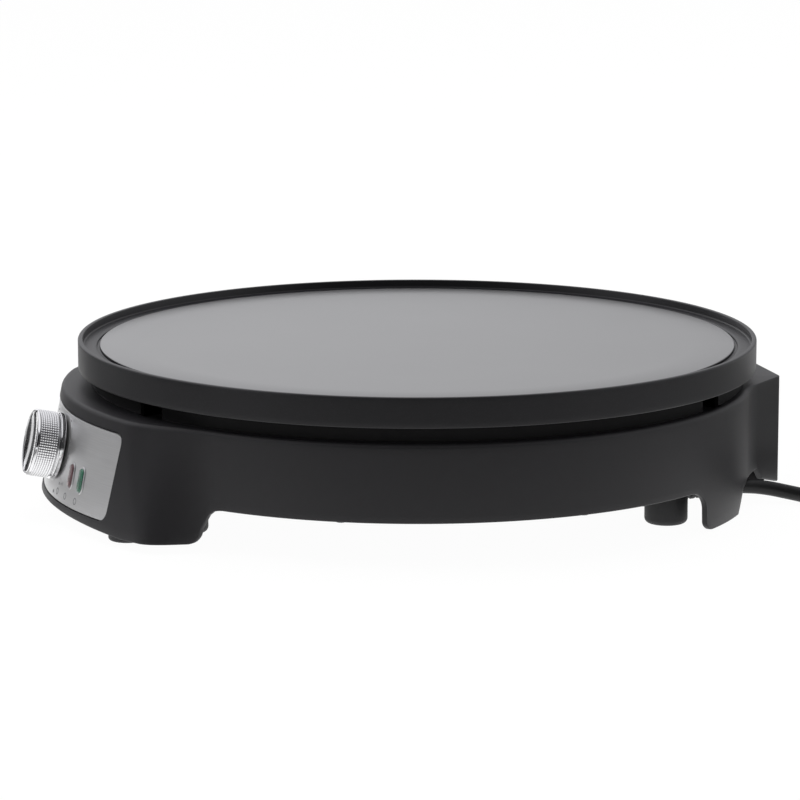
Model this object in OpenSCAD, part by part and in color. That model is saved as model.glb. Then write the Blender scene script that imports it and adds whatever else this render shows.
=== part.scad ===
// Electric crepe maker: a round cast hotplate on a moulded base with a control console at the
// front and a cord block at the rear. The front faces -Y, z = 0 is the table, lengths are in mm.

/* [Hotplate] */
// Outer diameter of the rim
plate_d = 320; // [312:1:330]
// Height of the rim band
rim_h = 13.9; // [12:0.1:18]
// Thickness of the rim band
rim_t = 4; // [3:0.1:5]
// Width of the lip on top of the rim
lip_w = 1.8; // [1:0.1:2.6]
// Width of the sunk ledge between the rim and the cooking disc
ledge_w = 8.5; // [6:0.1:12]
// Depth of the ledge below the lip
ledge_drop = 3.8; // [3.2:0.1:5]
// Width of the groove round the cooking disc
groove_w = 1.4; // [0.8:0.1:2.5]
// Depth of the groove below the ledge
groove_depth = 0.8; // [0.4:0.1:1.6]
// Depth of the cooking disc below the lip
disc_drop = 2.9; // [2:0.1:3.1]
// Thickness of the cooking disc
disc_t = 6; // [5:0.1:8]
// Gap between the rim and the top of the base
plate_gap = 7.4; // [6:0.1:10]
// How far the rim overhangs the base wall
rim_overhang = 2.6; // [1:0.1:4]

/* [Base] */
// Height of the side wall's lower edge above the table
wall_low = 20; // [18:0.5:22]
// Height of the side wall
wall_h = 35.7; // [34:0.1:42]
// Wall thickness of the moulding
wall_t = 2.6; // [2:0.1:3.2]
// Thickness of the top flange
flange_t = 2.4; // [1.6:0.1:3.2]
// Width of the ledge between the wall and the inner collar
collar_inset = 4.4; // [3.4:0.1:6]
// Thickness of the inner collar
collar_t = 1.6; // [1.2:0.1:2.4]
// How far the collar rises above the base
collar_rise = 6.6; // [3:0.1:7]
// Depth of the collar below the top of the base
collar_depth = 11; // [6:0.5:14]
// Height of the rear legs above the table
skirt_low = 0.5; // [0.3:0.1:2]
// Rounding of the console's top edge
edge_r = 2.4; // [1:0.1:3]

/* [Console] */
// How far the console stands out from the wall, at table level
console_reach = 22; // [19:0.5:26]
// Lean of the console face, in degrees
console_slope = 12; // [10:0.5:14]
// Half of the arc that the full console takes, in degrees
console_half = 23; // [22.5:0.5:25]
// Angle at which the console has run out into the wall, in degrees
console_end = 40; // [38:0.5:43]
// Distance of the console skirt's side edge in front of the plate axis
skirt_front_y = 127; // [124:0.5:129]
// Height of the console skirt's lower edge at its sides
front_skirt_low = 4.2; // [3:0.1:5]
// Height of the arched lower edge under the middle of the panel
front_low = 6.4; // [5.6:0.1:8]
// Half width of the arched lower edge
front_low_half = 78; // [74:0.5:82]
// Half width of the control panel
panel_half_w = 66.5; // [60:0.5:66.5]
// Height of the panel's lower edge
panel_low = 9.6; // [8:0.1:11]
// Height of the panel's upper edge
panel_high = 49.8; // [48.5:0.1:51]
// Corner radius of the panel
panel_corner = 5; // [2:0.5:8]
// Thickness of the panel sheet
panel_t = 0.8; // [0.6:0.1:1.2]
// How far the panel face lies below the console face
panel_recess = 0.5; // [0.2:0.1:0.8]
// Gap round the panel in its pocket
panel_clear = 0.25; // [0.1:0.05:0.4]

/* [Rear block] */
// How far the block stands out behind the wall
block_reach = 11.1; // [9:0.1:14]
// How far the block's top lies below the top of the base
block_drop = 0.3; // [0.2:0.1:2]
// Half width of the block's back face
block_half = 38; // [32:0.5:42]
// Height of the block's lower edge
block_low = 4.5; // [3:0.1:6]
// Half width at the top of the cord notches
notch_x = 55; // [50:0.5:58]
// Height of the top of the cord notches
notch_z = 14.7; // [12:0.1:17]
// Half width at which the rear leg starts
skirt_rear_x = 78.5; // [76:0.5:82]
// Height of the rear skirt's lower edge beside the leg
skirt_rear_z = 10.6; // [9:0.1:12]
// Distance of the rear leg's side edge behind the plate axis
leg_rear_y = 105; // [103:0.5:107]

/* [Feet and supports] */
// Diameter of the round feet
foot_d = 20; // [16:0.5:22]
// Height of the round feet
foot_h = 14; // [10:0.5:16]
// Radius of the rear supports from the plate axis
rear_post_r = 131; // [128:0.5:134]
// Angle of the rear supports from the back, in degrees
rear_post_a = 44; // [42:0.5:46]
// Radius of the front supports from the plate axis
front_post_r = 134; // [132:0.5:136]
// Angle of the front supports from the front, in degrees
front_post_a = 23; // [23:0.5:24]
// Depth of the support's top below the top of the base
post_drop = 1.2; // [0.6:0.1:3]
// Diameter of the front pads
pad_d = 18; // [14:0.5:20]
// Height of the front pads
pad_h = 5.6; // [4:0.1:7]
// Angle of the front pads from the front, in degrees
pad_a = 22; // [21.5:0.5:23]
// Width of the bracket that carries each support
bracket_w = 16; // [12:0.5:18]

/* [Bottom cover] */
// Thickness of the cover
cover_t = 2.5; // [2:0.1:3.5]
// Gap between the cover and the wall
cover_clear = 0.5; // [0.3:0.1:1]
// Depth of the sump under the controls
sump_depth = 11.5; // [10:0.1:12]
// How far the sump reaches in from the wall
sump_w = 39.4; // [34:0.1:44]
// Half of the sump's arc, in degrees
sump_half = 18; // [17:0.5:18]
// Height of the cord duct's outlet above the table
outlet_z = 8.6; // [8:0.1:9]

/* [Knob] */
// Diameter of the knob
knob_d = 31.2; // [28:0.1:32]
// Depth of the knob
knob_h = 13.4; // [12:0.1:16]
// Gap between the knob and the panel
knob_gap = 0.7; // [0.4:0.1:1.2]
// Height of the knob's axis where it meets the panel
knob_z = 32; // [31.5:0.5:33]
// Diameter of the control shaft
shaft_d = 6; // [5:0.1:7]
// Depth of the flat on the control shaft
shaft_flat = 1.2; // [0.8:0.1:1.8]
// Number of flutes round the knob
flutes = 40; // [20:4:60]

/* [Lamps] */
// Angle of the power lamp from the front, in degrees
power_lamp_a = 9.1; // [8.9:0.1:9.3]
// Angle of the ready lamp from the front, in degrees
ready_lamp_a = 13; // [12.8:0.1:13.4]
// Height of the lamps' centres
lamp_z = 23.4; // [22:0.1:24.5]
// Width of a lens
lens_w = 4.8; // [4:0.1:5.4]
// Length of a lens
lens_l = 11.2; // [10:0.1:12]
// Width of the bezel's flange
bezel_w = 0.9; // [0.6:0.1:1.1]
// How far a lens stands out of the panel
lens_proud = 0.9; // [0.5:0.1:1.5]

/* [Heating] */
// Mean radius of the heating element
element_r = 95; // [90:0.5:99]
// Diameter of the heating element
element_d = 6.5; // [6:0.1:8]
// Half of the gap between the element's ends, in degrees
element_gap = 14; // [12:0.5:18]
// Radius of the heat reflector's flat floor
reflector_r = 108; // [105:0.5:110]
// Depth of the reflector below the underside of the disc
reflector_drop = 12.4; // [11:0.1:13]
// Thickness of the reflector sheet
reflector_t = 0.6; // [0.5:0.1:1]
// Radius of the reflector's studs from the plate axis
stud_r = 60; // [55:0.5:65]
// Diameter of the temperature sensor
bulb_d = 4.4; // [4:0.1:5]
// Length of the temperature sensor
bulb_l = 60; // [50:1:70]

/* [Thermostat] */
// Width of the thermostat housing
stat_w = 32; // [30:0.5:34]
// Height of the thermostat housing
stat_h = 30; // [26:0.5:30]
// Depth of the thermostat housing
stat_depth = 20; // [18:0.5:21]
// Distance of the housing behind the panel face
stat_back = 8; // [7:0.1:9]
// Distance between the thermostat's screws
stat_pitch = 28; // [26:0.5:29]
// Wall of the thermostat housing
stat_t = 1.6; // [1.2:0.1:2]

/* [Cord] */
// Diameter of the mains lead
cord_d = 6.8; // [6:0.1:7.4]
// Diameter of the plug
plug_d = 37; // [35:0.5:39]
// Length of the plug's body
plug_l = 30; // [26:0.5:34]
// Diameter of the plug's pins
pin_d = 4.8; // [4:0.1:5]
// Distance between the plug's pins
pin_pitch = 19; // [18:0.5:20]

/* [Clearances] */
// Radial clearance of the shaft in its bearing
run_clear = 0.05; // [0.02:0.01:0.09]
// Radial clearance of screws in their threads
thread_clear = 0.05; // [0.02:0.01:0.1]
// Radial clearance of screws in through holes
hole_clear = 0.25; // [0.15:0.05:0.5]
// Clearance between inserted pieces and their pockets
fit_clear = 0.15; // [0.1:0.05:0.3]

/* [Hidden] */

$fn = 64;
FINE = 120;
EPS = 0.01;

// Colours
BLACK = [0.07, 0.07, 0.075];
COATING = [0.16, 0.16, 0.17];
SILVER = [0.72, 0.72, 0.72];
CHROME = [0.85, 0.85, 0.87];
STEEL = [0.6, 0.6, 0.62];
BRASS = [0.78, 0.62, 0.3];
CERAMIC = [0.9, 0.88, 0.82];

// Radii and levels that the main pieces share
plate_r = plate_d / 2;
wall_r = plate_r - rim_overhang;
wall_top = wall_low + wall_h;
rim_low = wall_top + plate_gap;
lip_z = rim_low + rim_h;
disc_z = lip_z - disc_drop;
ledge_z = lip_z - ledge_drop;
under_z = disc_z - disc_t;
disc_r = plate_r - lip_w - ledge_w;
collar_r = wall_r - collar_inset;
console_r = wall_r + console_reach;
block_y = wall_r + block_reach;
block_top = wall_top - block_drop;
reflector_z = under_z - reflector_drop;

// Polar places run from the front (-Y), positive towards +X
function polar(r, a, z = 0) = [r * sin(a), -r * cos(a), z];
function arc_points(cx, cy, r, a0, a1, n = 6) =
    [for (i = [0:n]) let (a = a0 + (a1 - a0) * i / n) [cx + r * cos(a), cy + r * sin(a)]];

// Places that repeat
SUPPORTS = [[front_post_r, front_post_a], [front_post_r, -front_post_a],
    [rear_post_r, 180 - rear_post_a], [rear_post_r, 180 + rear_post_a]];
STUDS = [30, 150, 270];
screw_inset = wall_t + 2.8 + 0.3;
COVER_SCREWS = [for (side = [1, -1], a = [62, 104, 154.5]) [wall_r - screw_inset, side * a]];

// Supports: a bush stands on a bracket and carries a boss of the hotplate
post_top = wall_top - post_drop;
boss_drop = 6;
boss_face = under_z - boss_drop;
boss_d = 16;
bush_d = 12;
m4_r = 2;
m4_head_r = 3.8;
m4_head_h = 2.6;
post_bore_r = m4_head_r + 0.4;
post_seat = foot_h + 9;
thread_top = disc_z - 2.6;

// The appliance's own box is centred on the origin, so its axis stands back from it
knob_r = knob_d / 2;
knob_ring_w = 1.2;
knob_edge = 0.7;
knob_top = knob_gap + knob_h;
KNOB_OUTLINE = [[knob_r - 0.9, knob_gap], [knob_r, knob_gap + 0.4], [knob_r, knob_gap + 2.2],
    [knob_r - 0.7, knob_gap + 2.6], [knob_r - 0.7, knob_gap + 3.2], [knob_r, knob_gap + 3.6],
    [knob_r, knob_top - knob_edge], [knob_r - knob_edge, knob_top]];
front_reach = panel_face_r(knob_z)
    + max([for (p = KNOB_OUTLINE) p[1] * cos(console_slope) + p[0] * sin(console_slope)]);
axis_y = (front_reach - block_y) / 2;
module place() translate([0, axis_y, 0]) children();

// ---- Hotplate ----

module hotplate() color(COATING) place() {
    lip_edge = 0.7;
    disc_edge = 0.5;
    groove_z = ledge_z - groove_depth;
    difference() {
        union() {
            rotate_extrude($fn = FINE) polygon([[0, under_z], [plate_r - rim_t, under_z],
                [plate_r - rim_t, rim_low], [plate_r - lip_edge, rim_low], [plate_r, rim_low + lip_edge],
                [plate_r, lip_z - lip_edge], [plate_r - lip_edge, lip_z], [plate_r - lip_w, lip_z],
                [plate_r - lip_w - lip_edge / 2, ledge_z], [disc_r + groove_w, ledge_z],
                [disc_r + groove_w, groove_z], [disc_r, groove_z], [disc_r, disc_z - disc_edge],
                [disc_r - disc_edge, disc_z], [0, disc_z]]);
            for (s = SUPPORTS)
                translate(polar(s[0], s[1], boss_face)) cylinder(d = boss_d, h = boss_drop + 1);
            for (a = STUDS) translate(polar(stud_r, a, reflector_z + reflector_t)) {
                cylinder(d = stud_boss_d, h = reflector_drop - reflector_t + 1);
                translate([0, 0, -stud_l]) cylinder(r = m4_r, h = stud_l + 1);
            }
            translate(polar(earth_r, 90, earth_z))
                cylinder(d = earth_boss_d, h = under_z - earth_z + 1);
        }
        element_groove();
        for (s = SUPPORTS) translate(polar(s[0], s[1], boss_face - 1))
            cylinder(r = m4_r, h = thread_top - boss_face + 1);
        translate(polar(earth_r, 90, earth_z - 1)) cylinder(r = m3_r, h = earth_thread + 1);
        translate([clip_screw_x, bulb_y, under_z - 1]) cylinder(r = m3_r, h = clip_thread + 1);
    }
}

stud_boss_d = 9;
stud_l = 7.2;
m3_r = 1.5;
m3_head_r = 2.8;
m3_head_h = 2;

// ---- Heating element, pressed into the underside of the disc ----

element_z = under_z - 1.2;
element_end_z = reflector_z - 6;
element_a = 90 + element_gap;
function element_end(side) = [side * element_r * sin(element_gap), element_r * cos(element_gap), 0];

end_r = element_d / 2 + 0.15;
module heating_element() color(STEEL) place() {
    rotate([0, 0, 90 + element_gap]) rotate_extrude(angle = 360 - 2 * element_gap, $fn = FINE)
        translate([element_r, element_z]) circle(d = element_d, $fn = 20);
    for (side = [-1, 1]) translate(element_end(side) + [0, 0, element_end_z])
        cylinder(r = end_r, h = element_z + element_d / 2 + 0.1 - element_end_z);
}

module element_groove() {
    r = element_d / 2 + fit_clear;
    rotate([0, 0, 90 + element_gap]) rotate_extrude(angle = 360 - 2 * element_gap, $fn = FINE)
        translate([element_r - r, under_z - 1]) square([2 * r, 1 + r + element_z - under_z]);
    for (side = [-1, 1]) translate(element_end(side) + [0, 0, under_z - 1])
        cylinder(r = end_r + fit_clear, h = 1 + r + 0.1 + element_z - under_z);
}

bead_h = 4;
tab_l = 8;
tab_t = 0.8;
tab_w = 6.3;
module element_terminals() color(CERAMIC) place() for (side = [-1, 1])
    translate(element_end(side) + [0, 0, element_end_z - bead_h]) {
        cylinder(d = element_d, h = bead_h, $fn = 32);
        translate([-tab_t / 2, -tab_w / 2, -tab_l]) cube([tab_t, tab_w, tab_l + EPS]);
    }

module heat_reflector() color([0.75, 0.75, 0.76]) place() {
    free = rear_post_r - bush_d / 2 - reflector_r;
    flare_w = 0.47 * free;
    flare_h = 6;
    flange_w = 0.18 * free;
    difference() {
        rotate_extrude($fn = FINE) polygon([[0, reflector_z], [reflector_r, reflector_z],
            [reflector_r + flare_w, reflector_z + flare_h],
            [reflector_r + flare_w + flange_w, reflector_z + flare_h],
            [reflector_r + flare_w + flange_w, reflector_z + flare_h + reflector_t],
            [reflector_r + flare_w - reflector_t / 2, reflector_z + flare_h + reflector_t],
            [reflector_r - reflector_t / 2, reflector_z + reflector_t], [0, reflector_z + reflector_t]]);
        for (a = STUDS) translate(polar(stud_r, a, reflector_z - 1))
            cylinder(r = m4_r + hole_clear, h = reflector_t + 2);
        for (side = [-1, 1]) translate(element_end(side) + [0, 0, reflector_z - 1])
            cylinder(d = element_d + 3, h = reflector_t + 2);
        translate([capillary_x, capillary_y, reflector_z - 1]) cylinder(r = 2, h = reflector_t + 2);
    }
}

washer_t = 0.8;
module reflector_washers() color(STEEL) place() for (a = [STUDS[0], STUDS[2]])
    translate(polar(stud_r, a, reflector_z - washer_t)) difference() {
        cylinder(r = 4.5, h = washer_t);
        translate([0, 0, -1]) cylinder(r = m4_r + hole_clear, h = washer_t + 2);
    }

nut_h = 3.2;
module reflector_nuts() color(STEEL) place() for (a = STUDS)
    translate(polar(stud_r, a, reflector_z - washer_t - nut_h)) difference() {
        cylinder(r = 4, h = nut_h, $fn = 6);
        translate([0, 0, -1]) cylinder(r = m4_r + thread_clear, h = nut_h + 2);
    }

// ---- Supports ----

module support_bushes() color(CERAMIC) place() for (s = SUPPORTS)
    translate(polar(s[0], s[1], post_top)) difference() {
        cylinder(d = bush_d, h = boss_face - post_top);
        translate([0, 0, -1]) cylinder(r = m4_r + hole_clear, h = boss_face - post_top + 2);
    }

module support_screws() color(STEEL) place() for (s = SUPPORTS)
    translate(polar(s[0], s[1], post_seat)) {
        translate([0, 0, -m4_head_h]) cylinder(r = m4_head_r, h = m4_head_h);
        cylinder(r = m4_r - thread_clear, h = thread_top - 1 - post_seat);
    }

// ---- Temperature sensor, thermal fuse and earth ----

bulb_y = -45;
bulb_z = under_z - bulb_d / 2;
module sensor_bulb() color([0.75, 0.45, 0.3]) place()
    translate([-bulb_l / 2, bulb_y, bulb_z]) rotate([0, 90, 0]) cylinder(d = bulb_d, h = bulb_l);

clip_screw_x = 0;
clip_thread = 3.4;
clip_w = 12;
clip_t = 0.8;
module bulb_clip() color(STEEL) place() difference() {
    clip_r = bulb_d / 2 + clip_t;
    union() {
        translate([-clip_w / 2, bulb_y - clip_r, bulb_z - clip_r])
            cube([clip_w, 2 * clip_r, clip_r + bulb_d / 2]);
        translate([clip_screw_x, bulb_y, bulb_z - clip_r - m3_head_h])
            cylinder(r = m3_head_r, h = m3_head_h + EPS);
    }
    translate([-clip_w / 2 - 1, bulb_y, bulb_z]) rotate([0, 90, 0])
        cylinder(d = bulb_d + 2 * thread_clear, h = clip_w + 2);
}

capillary_x = 44;
capillary_y = -54;
module capillary_tube() color([0.75, 0.45, 0.3]) place() tube(smooth(CAPILLARY, 3), 1.6, 8);

fuse_d = 4;
fuse_l = 12;
fuse_offset = 11;
fuse_x = polar(stud_r, STUDS[1]).x + fuse_offset;
fuse_y = polar(stud_r, STUDS[1]).y;
fuse_z = reflector_z - washer_t - fuse_d / 2;
module thermal_fuse() color([0.85, 0.83, 0.7]) place()
    translate([fuse_x, fuse_y - fuse_l / 2, fuse_z]) rotate([-90, 0, 0]) cylinder(d = fuse_d, h = fuse_l);

module fuse_clip() color(STEEL) place() difference() {
    clip_len = 9;
    ring_r = fuse_d / 2 + washer_t;
    union() {
        translate([fuse_x - fuse_offset, fuse_y, reflector_z - washer_t]) cylinder(r = 4.5, h = washer_t);
        translate([fuse_x - fuse_offset, fuse_y - clip_len / 2, reflector_z - washer_t])
            cube([fuse_offset + ring_r, clip_len, washer_t]);
        translate([fuse_x - ring_r, fuse_y - clip_len / 2, fuse_z - ring_r])
            cube([2 * ring_r, clip_len, ring_r + fuse_d / 2 + EPS]);
    }
    translate([fuse_x, fuse_y - clip_len, fuse_z]) rotate([-90, 0, 0])
        cylinder(r = fuse_d / 2 + thread_clear, h = 2 * clip_len);
    translate([fuse_x - fuse_offset, fuse_y, reflector_z - 3]) cylinder(r = m4_r + hole_clear, h = 6);
}

earth_r = 129;
earth_z = under_z - 6;
earth_boss_d = 9;
earth_thread = 8;
module earth_screw() color(BRASS) place() translate(polar(earth_r, 90, earth_z - tag_t)) {
    translate([0, 0, -m3_head_h]) cylinder(r = m3_head_r, h = m3_head_h);
    cylinder(r = m3_r - thread_clear, h = earth_thread - 1);
}

tag_t = 0.8;
tag_reach = 14;
module earth_tag() color(BRASS) place() translate(polar(earth_r, 90, earth_z - tag_t)) difference() {
    union() {
        cylinder(r = 4, h = tag_t);
        translate([-2, -tag_reach, 0]) cube([4, tag_reach, tag_t]);
    }
    translate([0, 0, -1]) cylinder(r = m3_r + hole_clear, h = tag_t + 2);
}

// ---- Base shell ----

// Radius of the console's cone, and of the panel's face in it, at height z
function cone_r(z) = console_r - z * tan(console_slope);
function panel_face_r(z) = cone_r(z) - panel_recess / cos(console_slope);

// The console runs out into the wall over an arc that starts sooner at the top
function ease(x) = let (t = min(1, max(0, x))) t * t * (3 - 2 * t);
run_out_low = 8;
function run_out_start(z) = console_half + run_out_low * (1 - z / wall_top);
function shell_r(a, z) = wall_r + (cone_r(z) - wall_r)
    * (1 - ease((abs(a) - run_out_start(z)) / (console_end - run_out_start(z))));

// Section of the moulding at angle a, drawn in by t
function shell_levels(t) = [for (i = [0:6]) skirt_low + t + (wall_top - edge_r - skirt_low - t) * i / 6];
function shell_section(a, t = 0) = let (levels = shell_levels(t), under = wall_top - flange_t + t) concat(
    [for (z = levels) [shell_r(a, z) - t, z]],
    [for (p = arc_points(shell_r(a, wall_top - edge_r) - edge_r, wall_top - edge_r, edge_r - t, 30, 90,
        2)) p],
    [[collar_r - collar_t / 2 + t, wall_top - t], [collar_r - collar_t / 2 + t, under],
     [shell_r(a, under) - wall_t + t, under]],
    [for (i = [5:-1:0]) [shell_r(a, levels[i]) - wall_t + t, levels[i]]]);

// The console, swept through its sections; its drawn-in ends reach into the exact ring behind it
seam = 0.1;
module console() {
    angles = concat([for (a = [-console_end - 2:-console_half]) a],
        [for (i = [1:22]) console_half * (i / 11.5 - 1)], [for (a = [console_half:console_end + 2]) a]);
    sections = [for (a = angles) [for (p = shell_section(a, abs(a) > console_end - 1.5 ? seam : 0))
        polar(p[0], a, p[1])]];
    n = len(sections[0]);
    last = len(angles) - 1;
    walls = [for (i = [0:last - 1], j = [0:n - 1])
        let (k = (j + 1) % n, q = [i * n + j, i * n + k, (i + 1) * n + k, (i + 1) * n + j])
        each [[q[0], q[1], q[2]], [q[0], q[2], q[3]]]];
    parts = concat([for (i = [0:4]) each [[i, i + 1, 17 - i], [i, 17 - i, 18 - i]]],
        [for (i = [5:8]) [i, i + 1, 12]], [[5, 12, 13], [9, 10, 11], [9, 11, 12]]);
    first_end = [for (f = parts) reversed(f)];
    last_end = [for (f = parts) [for (j = f) last * n + j]];
    polyhedron([for (s = sections) each s], concat(walls, first_end, last_end));
}
function reversed(v) = [for (i = [len(v) - 1:-1:0]) v[i]];

module shell_walls() {
    rotate([0, 0, -90 + console_end]) rotate_extrude(angle = 360 - 2 * console_end, $fn = FINE)
        polygon(shell_section(console_end));
    console();
    rotate_extrude($fn = FINE) translate([collar_r - collar_t, wall_top - collar_depth])
        square([collar_t, collar_depth + collar_rise]);
}

// Outline of the rear block, inset by t: its slanted sides sweep into the round of the base
blend_r = 49;
blend_dist = wall_r + blend_r;
blend_a = 45 + acos(((block_half + block_y) / sqrt(2) + blend_r) / blend_dist);
blend_centre = blend_dist * [cos(blend_a), sin(blend_a)];
function block_side(t) = let (dip = blend_a - 2) concat([[block_half - t * tan(22.5), block_y - t]],
    arc_points(blend_centre.x, blend_centre.y, blend_r + t, 225, 176.5 + blend_a, 4),
    [(wall_r - t - 0.45) * [cos(dip), sin(dip)]]);
function block_outline(t) = let (side = block_side(t)) concat(side, [[0, 90]],
    [for (i = [len(side) - 1:-1:0]) [-side[i].x, side[i].y]]);

module block_hollow() {
    translate([0, 0, -1]) linear_extrude(block_top - flange_t + 1) polygon(block_outline(wall_t));
}

module shell_cuts() {
    reach = wall_r + 40;
    // Open sides between the console skirt and the rear legs, and the console's lower edge
    rotate([90, 0, 90]) linear_extrude(2 * reach, center = true) polygon(concat(
        [[-reach, -1], [-reach, front_skirt_low]],
        arc_points(-skirt_front_y - skirt_round, front_skirt_low + skirt_round, skirt_round, -90, 0),
        [[-skirt_front_y + 3.5, wall_low - 2.8], [-skirt_front_y + 5.5, wall_low - 0.8],
         [-skirt_front_y + 8, wall_low]],
        arc_points(leg_rear_y - leg_fillet, wall_low - leg_fillet, leg_fillet, 90, 0),
        arc_points(leg_rear_y + leg_round, skirt_low + leg_round, leg_round, 180, 270),
        [[leg_rear_y + leg_round, -1]]));
    // Lower edge of the rear legs, skirt and block, with the cord notches
    translate([0, reach, 0]) rotate([90, 0, 0]) linear_extrude(reach - 60) polygon(concat(
        [for (p = rear_edge) [-p[0], p[1]]], [for (i = [len(rear_edge) - 1:-1:0]) rear_edge[i]]));
    // Arched edge under the panel
    translate([0, -110, 0]) rotate([90, 0, 0]) linear_extrude(reach)
        polygon(concat([[-front_low_half - 2, -1]], [for (i = [-6:6]) let (x = (front_low_half + 2) * i / 6)
            [x, front_low - drop_of_arc(front_arch_r, x)]], [[front_low_half + 2, -1]]));
}
front_arch_r = let (s = front_low - front_skirt_low) (front_low_half * front_low_half + s * s) / (2 * s);
rear_edge = [[skirt_rear_x + 8.5, -1], [skirt_rear_x + 8.5, skirt_low], [skirt_rear_x, skirt_rear_z],
    [notch_x, notch_z], [notch_x - 4.3, notch_z - 5.8], [block_half, block_low]];
skirt_round = 6;
leg_fillet = 10;
leg_round = 5;

// Ribs beside the cord notches
module notch_ribs() for (x = [-1, 1]) translate([x * 46 - 1.2, 118, block_low + 1.5])
    cube([2.4, block_y - 46 + block_half - 118 - wall_t, wall_low - 0.5 - block_low - 1.5]);

// Pads stand under bosses that a rib ties to the console's wall
module pad_boss(side) rotate([0, 0, side * pad_a]) {
    translate([0, -pad_r, pad_h]) cylinder(d = pad_d, h = pad_boss_h);
    translate([-4, -cone_r(pad_h + pad_boss_h) + wall_t / 2, pad_h + 1])
        cube([8, cone_r(pad_h + pad_boss_h) - wall_t / 2 - pad_r, pad_boss_h - 1]);
}
pad_boss_h = 9;

// A support's round post with its bracket and web
module post(r, a) {
    rotate([0, 0, a]) {
        translate([0, -r, foot_h]) cylinder(d = foot_d, h = post_top - foot_h);
        bracket_r = collar_r - collar_t / 2;
        translate([-bracket_w / 2, -bracket_r, post_top - bracket_t])
            cube([bracket_w, bracket_r - r, bracket_t]);
        rotate([90, 0, -90]) translate([0, 0, -web_t / 2]) linear_extrude(web_t) polygon([
            [r, web_low], [shell_r(a < 90 ? a : 180, web_low) - wall_t / 2, web_low],
            [shell_r(a < 90 ? a : 180, wall_top - flange_t) - wall_t / 2, wall_top - flange_t],
            [r, wall_top - flange_t]]);
    }
}
bracket_t = 3;
web_t = 3;
web_low = wall_low + cover_t + 1;

module post_bore(r, a) translate(polar(r, a, foot_h)) {
    translate([0, 0, -1]) cylinder(r = post_bore_r, h = post_seat - foot_h + 1);
    cylinder(r = m4_r + hole_clear, h = post_top - foot_h + 1);
}

module bracket_window(r, a) rotate([0, 0, a]) translate([-bracket_w / 2 - 0.3, -wall_r + wall_t, post_top])
    cube([bracket_w + 0.6, wall_r - r, collar_rise + post_drop + 1]);

screw_boss_r = 4.2;
pilot_depth = 16;
module screw_boss(r, a) translate(polar(r, a, wall_low + cover_t + fit_clear))
    cylinder(r = screw_boss_r, h = pilot_depth + 4);

// Frame on the console face: z points out of the panel, y points up its slope
module on_panel(a, z) rotate([0, 0, a]) translate([0, -panel_face_r(z), z])
    rotate([90 - console_slope, 0, 0]) children();
function panel_point(a, z, x, y, s) = let (
    r = panel_face_r(z) - y * sin(console_slope) + s * cos(console_slope),
    h = z + y * cos(console_slope) + s * sin(console_slope))
    [x * cos(a) + r * sin(a), x * sin(a) - r * cos(a), h];

pocket_floor = -panel_t - fit_clear;
shell_inner = -panel_recess - wall_t;

module panel_prism(grow) translate([0, -console_r - 10, 0]) rotate([-90, 0, 0])
    linear_extrude(80) translate([0, -(panel_low + panel_high) / 2])
    rounded_rect(2 * (panel_half_w + grow), panel_high - panel_low + 2 * grow, panel_corner + grow);

module rounded_rect(w, h, r) {
    square([w - 2 * r, h], center = true);
    square([w, h - 2 * r], center = true);
    for (x = [-1, 1], y = [-1, 1]) translate([x * (w / 2 - r), y * (h / 2 - r)]) circle(r = r, $fn = 32);
}

// A sheet of the cone, between two depths behind the panel's face
module cone_sheet(out, inward, z0, z1) rotate([0, 0, -90 - console_half])
    rotate_extrude(angle = 2 * console_half, $fn = FINE) polygon([
        [panel_face_r(z0) + out / cos(console_slope), z0],
        [panel_face_r(z1) + out / cos(console_slope), z1],
        [panel_face_r(z1) - inward / cos(console_slope), z1],
        [panel_face_r(z0) - inward / cos(console_slope), z0]]);

module base_shell() color(BLACK) place() {
    difference() {
        union() {
            difference() {
                union() {
                    shell_walls();
                    difference() {
                        translate([0, 0, block_low]) linear_extrude(block_top - block_low)
                            polygon(block_outline(0));
                        translate([0, 0, -1]) cylinder(r = collar_r - collar_t / 2, h = wall_top + 2,
                            $fn = FINE);
                    }
                }
                difference() {
                    block_hollow();
                    translate([0, 0, wall_top - collar_depth])
                        cylinder(r = collar_r, h = collar_depth + 1, $fn = FINE);
                }
                shell_cuts();
            }
            for (s = SUPPORTS) post(s[0], s[1]);
            for (s = COVER_SCREWS) screw_boss(s[0], s[1]);
            for (side = [-1, 1]) pad_boss(side);
            notch_ribs();
            for (x = [-1, 1]) on_panel(0, knob_z)
                translate([x * stat_pitch / 2, 0, -stat_back])
                cylinder(r = stat_boss_r, h = stat_back + shell_inner + 1.2);
        }
        for (s = SUPPORTS) {
            post_bore(s[0], s[1]);
            bracket_window(s[0], s[1]);
        }
        for (s = COVER_SCREWS) translate(polar(s[0], s[1], wall_low))
            cylinder(r = m3_r, h = pilot_depth + cover_t);
        // Pocket and openings for the panel, the shaft, the thermostat's screws and the lamps
        intersection() {
            cone_sheet(panel_recess + 1, -pocket_floor, panel_low - 3, panel_high + 3);
            panel_prism(panel_clear);
        }
        on_panel(0, knob_z) {
            translate([0, 0, -stat_back - 2]) cylinder(r = shaft_d / 2 + 1, h = stat_back + 4);
            translate([0, 0, -stat_back - 2])
                cylinder(r = stat_collar_r + fit_clear, h = 2 + stat_collar_l + fit_clear);
            for (x = [-1, 1]) translate([x * stat_pitch / 2, 0, 0]) {
                translate([0, 0, -stat_back - 2]) cylinder(r = m3_r + hole_clear, h = stat_back + 4);
                translate([0, 0, stat_head_z]) cylinder(r = m3_head_r + fit_clear, h = 6);
            }
        }
        for (a = [power_lamp_a, ready_lamp_a]) on_panel(a, lamp_z)
            translate([0, 0, -8]) linear_extrude(10) pill(lens_w / 2 + stem_t + fit_clear);
    }
}
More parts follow.
